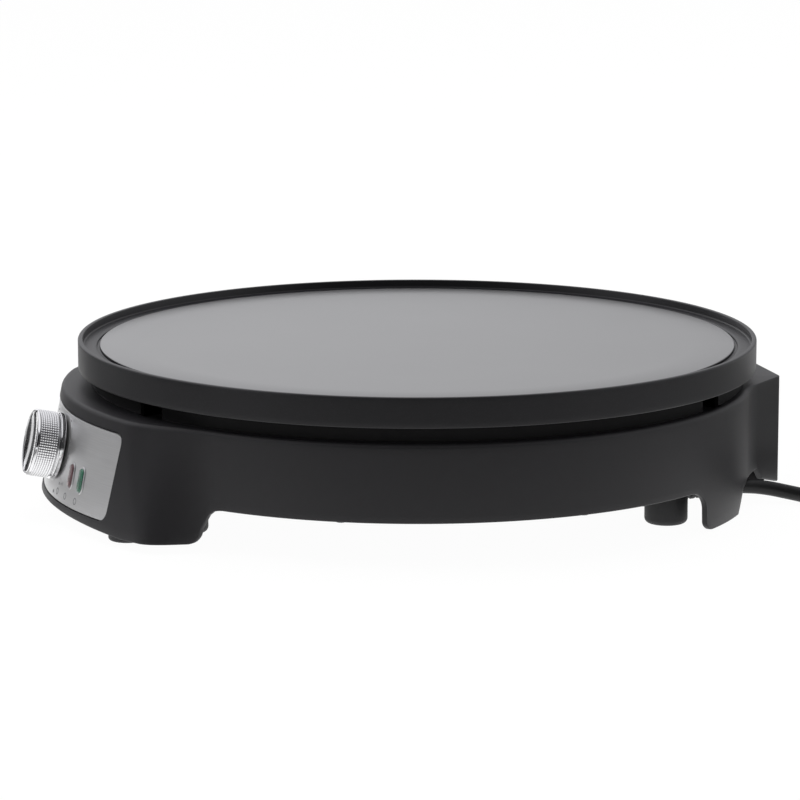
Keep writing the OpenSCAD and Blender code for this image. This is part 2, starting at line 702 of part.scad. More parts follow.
// The screws' heads lie below the panel, which curves away from its middle
stat_head_z = pocket_floor - m3_head_h
    - drop_of_arc(panel_face_r(knob_z), stat_pitch / 2 + m3_head_r);
function drop_of_arc(r, x) = r - sqrt(r * r - x * x);
stat_boss_r = 4.4;
stat_collar_r = 5;
stat_collar_l = 3.4;

// ---- Bottom cover, with a sump under the controls and a duct for the lead ----

cover_r = wall_r - wall_t - cover_clear;
cover_front_r = cone_r(wall_low + cover_t) - wall_t - cover_clear;
sump_r = wall_r - sump_w;
sump_z = wall_low - sump_depth;
front_step = 0.5;
sump_t = 2;
duct_x = 60.4;
duct_y = wall_r - 49.4;
duct_w = 17;
duct_t = 2;
cover_top = wall_low + cover_t;

module sector(r0, r1, half, z0, z1) rotate([0, 0, -90 - half])
    rotate_extrude(angle = 2 * half, $fn = FINE) translate([r0, z0]) square([r1 - r0, z1 - z0]);

// Side outline of the cord duct, inset by t
function duct_outline(t) = [[duct_y - t, wall_low + (t > 0 ? cover_t + 1 : 0)], [duct_y - t, duct_low + t],
    [duct_y - 20, duct_low + t], [duct_y - 50 + t, 13 + t],
    [duct_y - 50 + t, wall_low + (t > 0 ? cover_t + 1 : 0)]];
duct_low = 3;
clamp_y = duct_y - 58;
clamp_w = 30;
clamp_len = 8;
clamp_seat = 28.2 - cord_d / 2;
block_post_z = 25;

module bottom_cover() color(BLACK) place() difference() {
    union() {
        difference() {
            union() {
                translate([0, 0, wall_low]) cylinder(r = cover_r, h = cover_t, $fn = FINE);
                sector(cover_r - 6, cover_front_r, console_half - 1, wall_low - front_step,
                    cover_top - front_step);
                translate([0, 0, wall_low]) linear_extrude(cover_t)
                    polygon(block_outline(wall_t + cover_clear));
                sector(sump_r, cover_front_r, sump_half, sump_z, wall_low + 1);
            }
            sector(sump_r + sump_t, cover_front_r - sump_t, sump_half - 0.8, sump_z + sump_t,
                cover_top + 1);
        }
        translate([duct_x - duct_w / 2, 0, 0]) rotate([90, 0, 90]) linear_extrude(duct_w)
            polygon(duct_outline(0));
        translate([duct_x - clamp_w / 2, clamp_y - clamp_len / 2, wall_low + 1])
            cube([clamp_w, clamp_len, clamp_seat - wall_low - 1]);
        translate([duct_x - 12, terminal_y - 5, wall_low + 1]) cube([24, 10, block_post_z - wall_low - 1]);
    }
    translate([duct_x - duct_w / 2 + duct_t, 0, 0]) rotate([90, 0, 90])
        linear_extrude(duct_w - 2 * duct_t) polygon(duct_outline(duct_t));
    translate([duct_x, duct_y + 1, outlet_z]) rotate([90, 0, 0])
        cylinder(r = gland_neck_r + fit_clear, h = 6);
    // Clearance for the lamps, the feet and the screws
    on_panel(holder_a, lamp_z) translate([-holder_w / 2 - 1, -holder_h / 2 - 0.8,
        holder_front - holder_depth - 1])
        cube([holder_w + 2, 40, 40]);
    for (s = SUPPORTS) translate(polar(s[0], s[1], sump_z - 1))
        cylinder(d = foot_d + 2 * cover_clear, h = 20);
    for (s = COVER_SCREWS) translate(polar(s[0], s[1], wall_low - 1))
        cylinder(r = m3_r + hole_clear, h = cover_t + 2);
    for (x = CLAMP_SCREWS) translate([x, clamp_y, wall_low - 1]) cylinder(r = m3_r, h = 12);
}
CLAMP_SCREWS = [duct_x - 10, duct_x + 10];

module cover_screws() color(STEEL) place() for (s = COVER_SCREWS)
    translate(polar(s[0], s[1], wall_low)) {
        translate([0, 0, -m3_head_h]) cylinder(r = m3_head_r, h = m3_head_h);
        cylinder(r = m3_r - thread_clear, h = pilot_depth);
    }

// ---- Feet ----

module round_feet() color(BLACK) place() for (s = SUPPORTS) translate(polar(s[0], s[1])) {
    foot_edge = 2.6;
    rotate_extrude() polygon(concat([[0, 0]],
        arc_points(foot_d / 2 - foot_edge, foot_edge, foot_edge, -90, 0, 4),
        [[foot_d / 2, foot_h], [post_bore_r - fit_clear, foot_h], [post_bore_r - fit_clear, foot_h + 5.5],
         [0, foot_h + 5.5]]));
}

pad_r = console_r - 15;
module front_pads() color(BLACK) place() for (side = [-1, 1]) translate(polar(pad_r, side * pad_a)) {
    pad_edge = 1.4;
    rotate_extrude() polygon(concat([[0, 0]],
        arc_points(pad_d / 2 - pad_edge, pad_edge, pad_edge, -90, 0, 3),
        arc_points(pad_d / 2 - pad_edge, pad_h - pad_edge, pad_edge, 0, 90, 3), [[0, pad_h]]));
}

// ---- Control panel ----

module control_panel() color(SILVER) place() difference() {
    intersection() {
        cone_sheet(0, panel_t, panel_low - 3, panel_high + 3);
        panel_prism(0);
    }
    on_panel(0, knob_z) translate([0, 0, -4]) cylinder(r = shaft_d / 2 + 1, h = 8);
    for (a = [power_lamp_a, ready_lamp_a]) on_panel(a, lamp_z)
        translate([0, 0, -4]) linear_extrude(8) pill(lens_w / 2 + stem_t + fit_clear);
}

// ---- Knob and control shaft ----

shaft_end = knob_top - 3.4;
shaft_inner = -stat_back - stat_depth + 3.6;
flat_start = knob_gap + 1.2;
spring_t = 0.4;

module d_section(r) difference() {
    circle(r = r);
    translate([-r - 1, r - shaft_flat]) square([2 * r + 2, r]);
}

module knob_body() color(CHROME) place() on_panel(0, knob_z) difference() {
    rotate_extrude($fn = FINE) polygon(concat([[0, knob_gap]], KNOB_OUTLINE, [[0, knob_top]]));
    // Recess for the face disc, and a moulded hollow round the hub
    translate([0, 0, knob_top - face_t]) cylinder(r = face_r + thread_clear, h = face_t + 1);
    difference() {
        translate([0, 0, -1]) cylinder(r = knob_r - 3, h = knob_top - face_t - 1.4 + 1);
        translate([0, 0, -2]) cylinder(r = hub_r, h = knob_top);
    }
    translate([0, 0, -1]) cylinder(r = shaft_d / 2 + run_clear, h = flat_start + 1);
    translate([0, 0, flat_start - EPS]) linear_extrude(shaft_end + 0.3 - flat_start)
        d_section(shaft_d / 2 + run_clear);
    translate([-1.8, shaft_d / 2 - shaft_flat, flat_start + 0.5])
        cube([3.6, spring_t + run_clear, shaft_end - flat_start - 1]);
    // Flutes of the knurled grip
    for (i = [0:flutes - 1]) rotate([0, 0, 360 * i / flutes])
        translate([knob_r + 0.25, 0, knob_gap + 4.2]) cylinder(r = 0.6, h = knob_h - 4.2 - 1.6, $fn = 16);
}
hub_r = 6.4;
face_t = 2.2;
face_r = knob_r - knob_ring_w;
face_dish = 1.3;

module knob_face() color(CHROME) place() on_panel(0, knob_z)
    rotate_extrude($fn = FINE) polygon(concat([[0, knob_top - face_t]], [[face_r, knob_top - face_t]],
        [for (i = [0:8]) let (t = i / 8) [face_r * (1 - t),
            knob_top - 0.3 - face_dish * (1 - pow(1 - t, 2))]]));

module knob_spring() color(STEEL) place() on_panel(0, knob_z)
    translate([-1.7, shaft_d / 2 - shaft_flat + run_clear / 2, flat_start + 0.6])
    cube([3.4, spring_t, shaft_end - flat_start - 1.2]);

module thermostat_shaft() color(STEEL) place() on_panel(0, knob_z) {
    translate([0, 0, shaft_inner]) cylinder(d = shaft_d, h = flat_start - shaft_inner);
    translate([0, 0, flat_start - EPS]) linear_extrude(shaft_end - flat_start) d_section(shaft_d / 2);
}

cam_r = 9;
cam_t = 3;
cam_s = -stat_back - 7;
module thermostat_cam() color(BRASS) place() on_panel(0, knob_z) translate([0, 0, cam_s - cam_t])
    difference() {
    union() {
        cylinder(r = cam_r - 2, h = cam_t);
        translate([2, 0, 0]) cylinder(r = cam_r - 2, h = cam_t);
    }
    translate([0, 0, -1]) cylinder(r = shaft_d / 2 + thread_clear / 2, h = cam_t + 2);
}

// ---- Thermostat, fixed behind the console ----

stat_rear = -stat_back - stat_depth;
function stat_point(x, y, s) = panel_point(0, knob_z, x, y, s);

module thermostat_body() color(SILVER) place() on_panel(0, knob_z) difference() {
    union() {
        translate([-stat_w / 2, -stat_h / 2, stat_rear]) cube([stat_w, stat_h, stat_depth - fit_clear]);
        translate([0, 0, -stat_back - 1]) cylinder(r = stat_collar_r, h = 1 + stat_collar_l);
        for (x = [-1, 1]) translate([x * stat_pitch / 2, 0, -stat_back - 1])
            cylinder(r = stat_boss_r, h = 1);
    }
    translate([-stat_w / 2 + stat_wing, -stat_h / 2 + stat_t, stat_rear + stat_t])
        cube([stat_w - 2 * stat_wing, stat_h - 2 * stat_t, stat_depth - stat_t - stat_front_t]);
    translate([0, 0, -stat_back - 5]) cylinder(r = shaft_d / 2 + run_clear, h = 12);
    for (x = [-1, 1]) translate([x * stat_pitch / 2, 0, -stat_back - 7]) cylinder(r = m3_r, h = 8);
}
stat_front_t = 3;
stat_wing = 5.6;

STAT_TABS = [[-7, -4], [0, -4], [7, -4]];
module thermostat_terminals() color(BRASS) place() on_panel(0, knob_z) for (t = STAT_TABS)
    translate([t[0] - tab_t / 2, t[1] - tab_w / 2, stat_rear - tab_l]) cube([tab_t, tab_w, tab_l]);

module thermostat_screws() color(STEEL) place() on_panel(0, knob_z) for (x = [-1, 1])
    translate([x * stat_pitch / 2, 0, 0]) {
        translate([0, 0, stat_head_z]) cylinder(r = m3_head_r, h = m3_head_h - fit_clear);
        translate([0, 0, -stat_back - 6])
            cylinder(r = m3_r - thread_clear, h = stat_back + 7 + stat_head_z);
    }

// ---- Lamps ----

stem_t = 0.5;
module pill(r) {
    square([2 * r, lens_l - lens_w], center = true);
    for (y = [-1, 1]) translate([0, y * (lens_l - lens_w) / 2]) circle(r = r, $fn = 32);
}

module lens(a) place() on_panel(a, lamp_z) {
    translate([0, 0, -lens_depth]) linear_extrude(lens_depth + lens_proud - 0.4)
        pill(lens_w / 2 - fit_clear / 2);
    translate([0, 0, lens_proud - 0.4 - EPS]) linear_extrude(0.4) pill(lens_w / 2 - fit_clear / 2 - 0.4);
}
lens_depth = 6;
module lens_power() color([0.35, 0.12, 0.1]) lens(power_lamp_a);
module lens_ready() color([0.1, 0.45, 0.25]) lens(ready_lamp_a);

module lamp_bezels() color(SILVER) place() for (a = [power_lamp_a, ready_lamp_a]) on_panel(a, lamp_z)
    difference() {
        union() {
            translate([0, 0, 0.05]) linear_extrude(0.45) pill(lens_w / 2 + bezel_w);
            translate([0, 0, shell_inner - 1]) linear_extrude(-shell_inner + 1.1) pill(lens_w / 2 + stem_t);
        }
        translate([0, 0, -6]) linear_extrude(10) pill(lens_w / 2);
    }

holder_a = (power_lamp_a + ready_lamp_a) / 2;
holder_w = 22;
holder_h = 16;
holder_front = shell_inner - 0.9;
holder_depth = 10;
module lamp_holder() color([0.85, 0.85, 0.82]) place() difference() {
    on_panel(holder_a, lamp_z) translate([-holder_w / 2, -holder_h / 2, holder_front - holder_depth])
        cube([holder_w, holder_h, holder_depth]);
    for (a = [power_lamp_a, ready_lamp_a]) on_panel(a, lamp_z) {
        translate([0, 0, -20]) linear_extrude(30) pill(lens_w / 2 + fit_clear);
        translate([0, 0, holder_front - 0.8]) linear_extrude(8) pill(lens_w / 2 + stem_t + fit_clear);
    }
}

neon_d = 4.4;
module neon_lamps() color([1, 0.6, 0.35]) place() for (a = [power_lamp_a, ready_lamp_a]) on_panel(a, lamp_z)
    rotate([90, 0, 0]) translate([0, -lens_depth - 0.4 - neon_d / 2, -(lens_l - 2) / 2])
    cylinder(d = neon_d, h = lens_l - 2);

// ---- Mains terminals and cord clamp ----

terminal_y = duct_y - 80;
terminal_w = 30;
terminal_len = 14;
terminal_h = 12;
TERMINALS = [-9, 0, 9];
core_z = block_post_z + 5;

module terminal_block() color(CERAMIC) place() translate([duct_x, terminal_y, block_post_z]) difference() {
    translate([-terminal_w / 2, -terminal_len / 2, 0]) cube([terminal_w, terminal_len, terminal_h]);
    for (x = TERMINALS) {
        translate([x, terminal_len, 5]) rotate([90, 0, 0]) cylinder(r = 2, h = 2 * terminal_len);
        for (y = [-3.6, 3.6]) translate([x, y, 5]) cylinder(r = 2, h = terminal_h);
    }
}

module terminal_screws() color(BRASS) place() translate([duct_x, terminal_y, block_post_z])
    for (x = TERMINALS) {
    for (y = [-3.6, 3.6]) translate([x, y, 6.6]) cylinder(r = 1.9, h = 4.4);
    translate([x, 6.4, 5]) rotate([90, 0, 0]) difference() {
        cylinder(r = 1.9, h = 12.8);
        translate([0, 0, -1]) cylinder(r = 1.3, h = 4.5);
        translate([0, 0, 9.3]) cylinder(r = 1.3, h = 4.5);
    }
}

module cord_clamp() color(BLACK) place() difference() {
    clamp_h = cord_d / 2 + 2.6;
    translate([duct_x - clamp_w / 2, clamp_y - clamp_len / 2, clamp_seat])
        cube([clamp_w, clamp_len, cord_d / 2 + clamp_h]);
    translate([duct_x, clamp_y + clamp_len, clamp_seat + cord_d / 2]) rotate([90, 0, 0])
        cylinder(r = cord_d / 2 + fit_clear, h = 2 * clamp_len);
    translate([duct_x - cord_d / 2 - fit_clear, clamp_y - clamp_len, clamp_seat - 1])
        cube([cord_d + 2 * fit_clear, 2 * clamp_len, 1 + cord_d / 2]);
    for (x = CLAMP_SCREWS) translate([x, clamp_y, clamp_seat - 1]) {
        cylinder(r = m3_r + hole_clear, h = 20);
        translate([0, 0, 1 + clamp_ear]) cylinder(r = m3_head_r + hole_clear, h = 20);
    }
}
clamp_ear = 4;

module clamp_screws() color(STEEL) place() for (x = CLAMP_SCREWS) translate([x, clamp_y, clamp_seat]) {
    translate([0, 0, clamp_ear]) cylinder(r = m3_head_r, h = m3_head_h);
    translate([0, 0, -3]) cylinder(r = m3_r - thread_clear, h = 3 + clamp_ear + 0.5);
}

// ---- Wires and cords ----

// A spline through the points, with n pieces to each stretch
function spline_point(a, b, c, d, t) = 0.5 * (2 * b + (c - a) * t + (2 * a - 5 * b + 4 * c - d) * t * t
    + (3 * b - a - 3 * c + d) * t * t * t);
function smooth(p, n) = let (last = len(p) - 1) concat([for (i = [0:last - 1], j = [0:n - 1])
    spline_point(p[max(i - 1, 0)], p[i], p[i + 1], p[min(i + 2, last)], j / n)], [p[last]]);
function unit(v) = v / norm(v);
function heading(p, i) = unit(p[min(i + 1, len(p) - 1)] - p[max(i - 1, 0)]);

// A round tube through the points
module tube(p, d, sides) {
    ref = [0.31, 0.23, 0.92];
    rings = [for (i = [0:len(p) - 1])
        let (t = heading(p, i), u = unit(cross(ref, t)), v = cross(t, u))
        each [for (k = [0:sides - 1]) p[i] + (u * cos(360 * k / sides) + v * sin(360 * k / sides)) * d / 2]];
    walls = [for (i = [0:len(p) - 2], k = [0:sides - 1])
        let (m = (k + 1) % sides, q = [i * sides + k, i * sides + m, (i + 1) * sides + m,
            (i + 1) * sides + k])
        each [[q[2], q[1], q[0]], [q[3], q[2], q[0]]]];
    caps = [[for (k = [0:sides - 1]) k], [for (k = [0:sides - 1]) len(p) * sides - 1 - k]];
    polyhedron(rings, concat(walls, caps));
}

// Places behind the front of the wall, so that they keep their distance from the controls
function behind(x, back, z) = [x, back - wall_r, z];
CAPILLARY = [[bulb_l / 2 + 0.2, bulb_y, bulb_z], [bulb_l / 2 + 6, bulb_y - 1, bulb_z - 1], [42, -49, 61],
    [capillary_x, capillary_y, 55.5], [43.5, -57, 49.5], [38, -72, 43], behind(26, 57.4, 41),
    behind(12, 32.4, 40), behind(3, 21, 37.4), stat_point(0, 9, stat_rear - 2.4),
    stat_point(0, 9, stat_rear - 0.25)];

core_d = 2.4;
inner_end_y = duct_y - 64;
function terminal_in(i) = [duct_x + TERMINALS[i], terminal_y + 3.6, core_z];
function terminal_out(i) = [duct_x + TERMINALS[i], terminal_y - 3.6, core_z];
function core_start(x) = [duct_x + x, inner_end_y - 0.45, 28.2];
function core_out(x) = core_start(x) - [0, 1.2, 0];
function stat_tab(i, s = 0.35) = stat_point(STAT_TABS[i][0], STAT_TABS[i][1], stat_rear - tab_l - s);
function element_tab(side) = element_end(side) + [0, 0, element_end_z - bead_h - tab_l - 0.3];

module wire(p) tube(smooth(p, 2), core_d, 8);

module live_wire() color([0.4, 0.22, 0.12]) place() {
    wire([core_start(-1.9), core_out(-1.9), [duct_x - 5, terminal_y + 12.5, 29],
        [duct_x - 9, terminal_y + 9.8, core_z],
        [duct_x - 9, terminal_y + 7, core_z], terminal_in(0)]);
    wire([terminal_out(0), [duct_x - 9, terminal_y - 8, core_z], [duct_x - 9, terminal_y - 15, 29], [46, terminal_y - 28, 26.5], [34, -50, 25],
        behind(20, 52.4, 25), behind(5, 36, 25.2), behind(0.6, 27.5, 22.6), stat_tab(1, 3),
            stat_tab(1, 1.6), stat_tab(1)]);
}

module neutral_wire() color([0.15, 0.3, 0.65]) place() {
    wire([core_start(0.1) + [0, 0, 1.5], core_out(0.1) + [0, 0, 1.5], [duct_x, terminal_y + 11.5, core_z],
        [duct_x, terminal_y + 8.6, core_z], terminal_in(1)]);
    wire([terminal_out(1), [duct_x, terminal_y - 8.4, core_z], [duct_x - 1.6, terminal_y - 12.4, 31.8],
        [duct_x - 10, terminal_y - 18, 34],
        [38, 14, 34], [28, 45, 32.4], [24, 75, 32], [23.4, 88, 32.6], element_tab(1) + [0, 0, -3.5],
        element_tab(1)]);
}

module earth_wire() color([0.45, 0.6, 0.15]) place() {
    wire([core_start(1.9) + [0, 0, -0.6], core_out(1.9) + [0, 0, -0.6],
        [duct_x + 5, terminal_y + 12.5, 28.8],
        [duct_x + 9, terminal_y + 9.8, core_z],
        [duct_x + 9, terminal_y + 7, core_z], terminal_in(2)]);
    wire([terminal_out(2), [duct_x + 9, terminal_y - 8, core_z], [duct_x + 11, terminal_y - 15, 30.4], [86, terminal_y - 22, 33], [104, -6, 44],
        [117, -18, 53], [earth_r - 1, -22, 60], earth_tag_end - [0, 2, 0], earth_tag_end]);
}
earth_tag_end = polar(earth_r, 90, earth_z - tag_t / 2) - [0, tag_reach + 0.25, 0];

module heater_wire() color([0.85, 0.83, 0.78]) place() {
    wire([stat_tab(0), stat_tab(0, 1.6), stat_tab(0, 3), behind(-9, 30.4, 25), behind(-14, 57.4, 26),
        [-4, -20, 28],
        [14, 20, 36], [fuse_x, 36, 45], [fuse_x, fuse_y - fuse_l / 2 - 3.5, fuse_z - 0.6],
        [fuse_x, fuse_y - fuse_l / 2 - 0.3, fuse_z]]);
    wire([[fuse_x, fuse_y + fuse_l / 2 + 0.3, fuse_z], [fuse_x - 1, fuse_y + fuse_l / 2 + 4, fuse_z - 0.6],
        [fuse_x - 14, 72, 45], [-2, 78, 36], [-16, 84, 33], [-22, 90, 33.4],
        element_tab(-1) + [0, 0, -2.6], element_tab(-1)]);
}

module lamp_wires() color([0.75, 0.75, 0.7]) place() {
    wire([panel_point(power_lamp_a, lamp_z, 0, 0, neon_back),
        panel_point(power_lamp_a, lamp_z, 0, 1, neon_back - 6),
        behind(24, 12.4, 23), behind(17, 24.4, 22.6), behind(10.5, 26.4, 21), stat_tab(2, 3),
            stat_tab(2, 1.6), stat_tab(2)]);
    wire([panel_point(ready_lamp_a, lamp_z, 0, 0, neon_back),
        panel_point(ready_lamp_a, lamp_z, 0, 1, neon_back - 7),
        behind(36, 19.4, 24), behind(32, 37.4, 24.4), [36, -80, 24.4], [52, terminal_y - 48, 24.6],
        [duct_x + 2, terminal_y - 22, 26], [duct_x + 3.4, terminal_y - 14, 32.4],
        [duct_x + 4.5, terminal_y - terminal_len / 2 - 1.6, 34.5],
        [duct_x + 4.5, terminal_y - terminal_len / 2 - 0.3, 34.5]]);
}
neon_back = -lens_depth - 0.4 - neon_d - 0.2;

// Sheathed lead inside the base, from the gland to the clamp and just past it
INNER_CORD = [for (p = [[4.6, outlet_z], [11, 8.9], [18, 10.8], [26, 14.6], [34, 19.3], [40, 22.9],
    [46, 26.1], [50.5, 27.8], [54, 28.2], [59, 28.2], [64, 28.2]]) [duct_x, duct_y - p[0], p[1]]];
module inner_cord() color(BLACK) place() tube(INNER_CORD, cord_d, 12);

gland_neck_r = 5.2;
gland_tail = 26;
module strain_relief() color(BLACK) place() translate([duct_x, duct_y, outlet_z]) rotate([-90, 0, 0]) {
    flange_r = 6.4;
    translate([0, 0, -duct_t - fit_clear - 2]) cylinder(r = gland_neck_r - fit_clear, h = 6);
    translate([0, 0, fit_clear / 3]) cylinder(r = flange_r, h = 2);
    intersection() {
        translate([0, 0, -duct_t - fit_clear / 3 - 2]) cylinder(r = gland_neck_r + 0.6, h = 2);
        translate([-10, outlet_z - duct_low - duct_t - fit_clear - 20, -10]) cube([20, 20, 10]);
    }
    translate([0, 0, 2]) cylinder(r1 = 5.6, r2 = cord_d / 2 + 0.5, h = gland_tail - 2);
}

// The lead's route on the table, up to the outer turn of its coil
outlet = [duct_x, duct_y, 0];
CORD_ROUTE = [for (p = [[0, 26, 8.6], [-0.1, 31, 8.3], [-0.3, 36, 7.9], [-0.1, 42, 7.3], [1.2, 48, 6.4],
    [3.8, 53.5, 5.4], [7.6, 58.5, 4.6], [12.6, 63.5, 3.9], [18.6, 69, 3.5], [25.1, 76, 3.4],
    [31.1, 84, 3.4], [36.2, 93, 3.4], [40.6, 103.1, 3.4]]) outlet + p];
module power_cord() color(BLACK) place() tube(CORD_ROUTE, cord_d, 12);

coil_centre = outlet + [-0.4, 118, 0];
coil_turn_r = 40.2;
module cord_coil() color(BLACK) place() translate(coil_centre) rotate_extrude($fn = FINE)
    translate([coil_turn_r - cord_d, 0]) square([2 * cord_d, 2 * cord_d]);

tie_w = 4;
module coil_tie() color([0.15, 0.15, 0.15]) place() translate(coil_centre) rotate([0, 0, 200])
    difference() {
    tie_t = 0.8;
    translate([coil_turn_r - cord_d - tie_t, -tie_w / 2, 0])
        cube([2 * cord_d + 2 * tie_t, tie_w, 2 * cord_d + tie_t]);
    translate([coil_turn_r - cord_d - 0.3, -tie_w, -1])
        cube([2 * cord_d + 0.6, 2 * tie_w, 2 * cord_d + 1.1]);
}

PLUG_ROUTE = [for (p = [[-0.4, 161.6, 10.2], [-8.4, 161.6, 10.7], [-16.4, 161.2, 12], [-24.4, 160.4, 14],
    [-32.4, 159.6, 16], [-39.4, 159.1, 17.6], [-45.4, 159, 18.3]]) outlet + p];
module plug_lead() color(BLACK) place() tube(PLUG_ROUTE, cord_d, 12);

// ---- Plug ----

boot_l = 26;
plug_x = duct_x - 45.4;
plug_y = duct_y + 159;
module at_plug(s) translate([plug_x - s, plug_y, plug_d / 2]) rotate([0, -90, 0]) children();

module plug_boot() color(BLACK) place() at_plug(0)
    cylinder(r1 = cord_d / 2 + 0.8, r2 = 6.5, h = boot_l);

module plug_body() color(BLACK) place() at_plug(boot_l) difference() {
    rotate_extrude($fn = 96) polygon([[0, 0], [9, 0], [13, 5], [plug_d / 2 - 1, plug_l - 12],
        [plug_d / 2, plug_l - 10], [plug_d / 2, plug_l - 0.6], [plug_d / 2 - 0.6, plug_l], [0, plug_l]]);
    for (y = [-1, 1]) translate([0, y * pin_pitch / 2, plug_l - 8]) cylinder(r = pin_d / 2, h = 10);
    for (x = [-1, 1]) translate([x * (plug_d / 2 - clip_slot) - (x < 0 ? 4 : 0), -4, plug_l - 16])
        cube([4, 8, 20]);
}
clip_slot = 2.2;

module plug_pins() color(BRASS) place() at_plug(boot_l + plug_l) for (y = [-1, 1])
    translate([0, y * pin_pitch / 2, -7.5]) {
        cylinder(r = pin_d / 2 - thread_clear, h = 24.5);
        translate([0, 0, 24.5 - EPS]) cylinder(r1 = pin_d / 2 - thread_clear, r2 = 1.2, h = 2);
    }

module plug_earth_clips() color(STEEL) place() at_plug(boot_l + plug_l) for (x = [-1, 1])
    translate([x * (plug_d / 2 - clip_slot + 0.55) - 0.5, -3, -15.5]) cube([1, 6, 15]);

hotplate();
heating_element();
element_terminals();
heat_reflector();
reflector_washers();
reflector_nuts();
support_bushes();
support_screws();
sensor_bulb();
bulb_clip();
capillary_tube();
thermal_fuse();
fuse_clip();
earth_screw();
earth_tag();
base_shell();
bottom_cover();
cover_screws();
round_feet();
front_pads();
control_panel();
knob_body();
knob_face();
knob_spring();
thermostat_shaft();
thermostat_cam();
thermostat_body();
thermostat_terminals();
thermostat_screws();
lens_power();
lens_ready();
lamp_bezels();
lamp_holder();
neon_lamps();
terminal_block();
terminal_screws();
cord_clamp();
clamp_screws();
live_wire();
neutral_wire();
earth_wire();
heater_wire();
lamp_wires();
inner_cord();
strain_relief();
power_cord();
cord_coil();
coil_tie();
plug_lead();
plug_boot();
plug_body();
plug_pins();
plug_earth_clips();
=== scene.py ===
"""Looks of the electric crepe maker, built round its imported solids."""

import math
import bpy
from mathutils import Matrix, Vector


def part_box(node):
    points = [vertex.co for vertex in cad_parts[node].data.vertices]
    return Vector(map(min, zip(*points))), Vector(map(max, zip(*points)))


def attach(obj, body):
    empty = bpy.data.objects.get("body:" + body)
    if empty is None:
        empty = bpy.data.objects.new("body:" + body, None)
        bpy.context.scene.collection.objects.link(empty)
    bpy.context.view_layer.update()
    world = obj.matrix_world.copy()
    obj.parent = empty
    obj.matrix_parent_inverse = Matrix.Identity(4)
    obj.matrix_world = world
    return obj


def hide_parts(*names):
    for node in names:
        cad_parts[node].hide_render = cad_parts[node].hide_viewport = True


bl_info = {
    "name": "Electric Crepe Maker",
    "version": (1, 0, 0),
    "blender": (4, 5, 0),
    "location": "View3D > Sidebar > Crepe Maker",
    "description": "Builds a countertop crepe maker with its console, knob, feet and mains lead",
    "category": "Object",
}

import bmesh
import bpy
from bpy.props import FloatProperty, FloatVectorProperty, IntProperty, PointerProperty
from mathutils import Matrix, Vector

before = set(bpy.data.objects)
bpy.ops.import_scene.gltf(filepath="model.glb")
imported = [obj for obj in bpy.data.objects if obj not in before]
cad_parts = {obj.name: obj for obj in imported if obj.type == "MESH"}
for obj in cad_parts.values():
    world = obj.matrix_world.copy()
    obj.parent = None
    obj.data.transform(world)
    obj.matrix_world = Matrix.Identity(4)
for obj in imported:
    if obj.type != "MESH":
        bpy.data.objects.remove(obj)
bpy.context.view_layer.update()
MM = 0.001

# The hotplate's axis stands back from the origin
PLATE_LOW, PLATE_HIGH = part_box("hotplate")
AXIS_Y = (PLATE_LOW[1] + PLATE_HIGH[1]) / 2 / MM

# The sizes below are the solids' own, in millimetres, with angles in degrees from the front.
# Hotplate: its rim, the cooking disc, the ledge between them and the bosses under it
PLATE_R = 160.0
PLATE_UNDER = 68.1
RIM_LOW = 63.1
RIM_TOP = 77.0
DISC_R = 149.7
DISC_TOP = 74.1
LEDGE_TOP = 73.2
BOSS_LOW = 62.1
STUDS = [(60.0, 30.0), (60.0, 150.0), (60.0, 270.0)]
EARTH_BOSS = (128.0, 90.0)

# Base: its round wall, the flange on it and the collar that stands on the flange
WALL_R = 157.4
WALL_LOW = 20.0
WALL_TOP = 55.7
WALL_T = 2.6
FLANGE_T = 2.4
COLLAR_R = 153.0
COLLAR_T = 1.6
COLLAR_TOP = 62.3
COLLAR_LOW = 44.7

# Console at the front, cord block at the back, and the lower edge of both
CONSOLE_R = 179.4
SLOPE = math.radians(12)
CONSOLE_HALF = 23.0
CONSOLE_END = 40.0
BLOCK_Y = 168.5
BLOCK_HALF = 38.0
BLEND_R = 49.0
FLARE_CORNERS = [(38, 168.5), (50.7, 155.8), (55, 151.5)]
LEG_SIDES = (78.5, 87)
LEG_LOW = 0.5
SKIRT_LOW = 4.2
ARCH_LOW = 6.4
ARCH_HALF = 78.0
REAR_EDGE = [(0, 4.5), (38, 4.5), (50.7, 8.9), (55, 14.7), (LEG_SIDES[0], 10.6), (LEG_SIDES[1], LEG_LOW),
             (400, LEG_LOW)]
SIDE_LOW = 10.2
SIDE_EDGE = [(-127, SIDE_LOW), (-123.5, 17.2), (-121.5, 19.2), (-119, WALL_LOW)]
# Half the distance between the two ribs inside the cord block
CORD_RIB_X = 46.0

# Control panel, knob and lamps
PANEL_RECESS = 0.5
PANEL_LOW = 9.6
PANEL_HIGH = 49.8
PANEL_HALF = 66.5
PANEL_CORNER = 5.0
PANEL_T = 0.8
KNOB_Z = 32.0
KNOB_LOW = 0.7
KNOB_TOP = 14.1
KNOB_RIM = 1.2
KNOB_RECESS = 2.2
SHAFT_HOLE_R = 4.0
LAMP_Z = 23.4
LAMP_ANGLES = {"power": 9.1, "ready": 13.0}
LAMP_HOLE_R = 3.05
LENS_LENGTH = 11.2
LENS_WIDTH = 4.8
MARK_Z = 13.4
RING_PLACES = (12.0, 24.1, 36.6)
SCALE_R = 21.0
SCALE_DOTS = 10

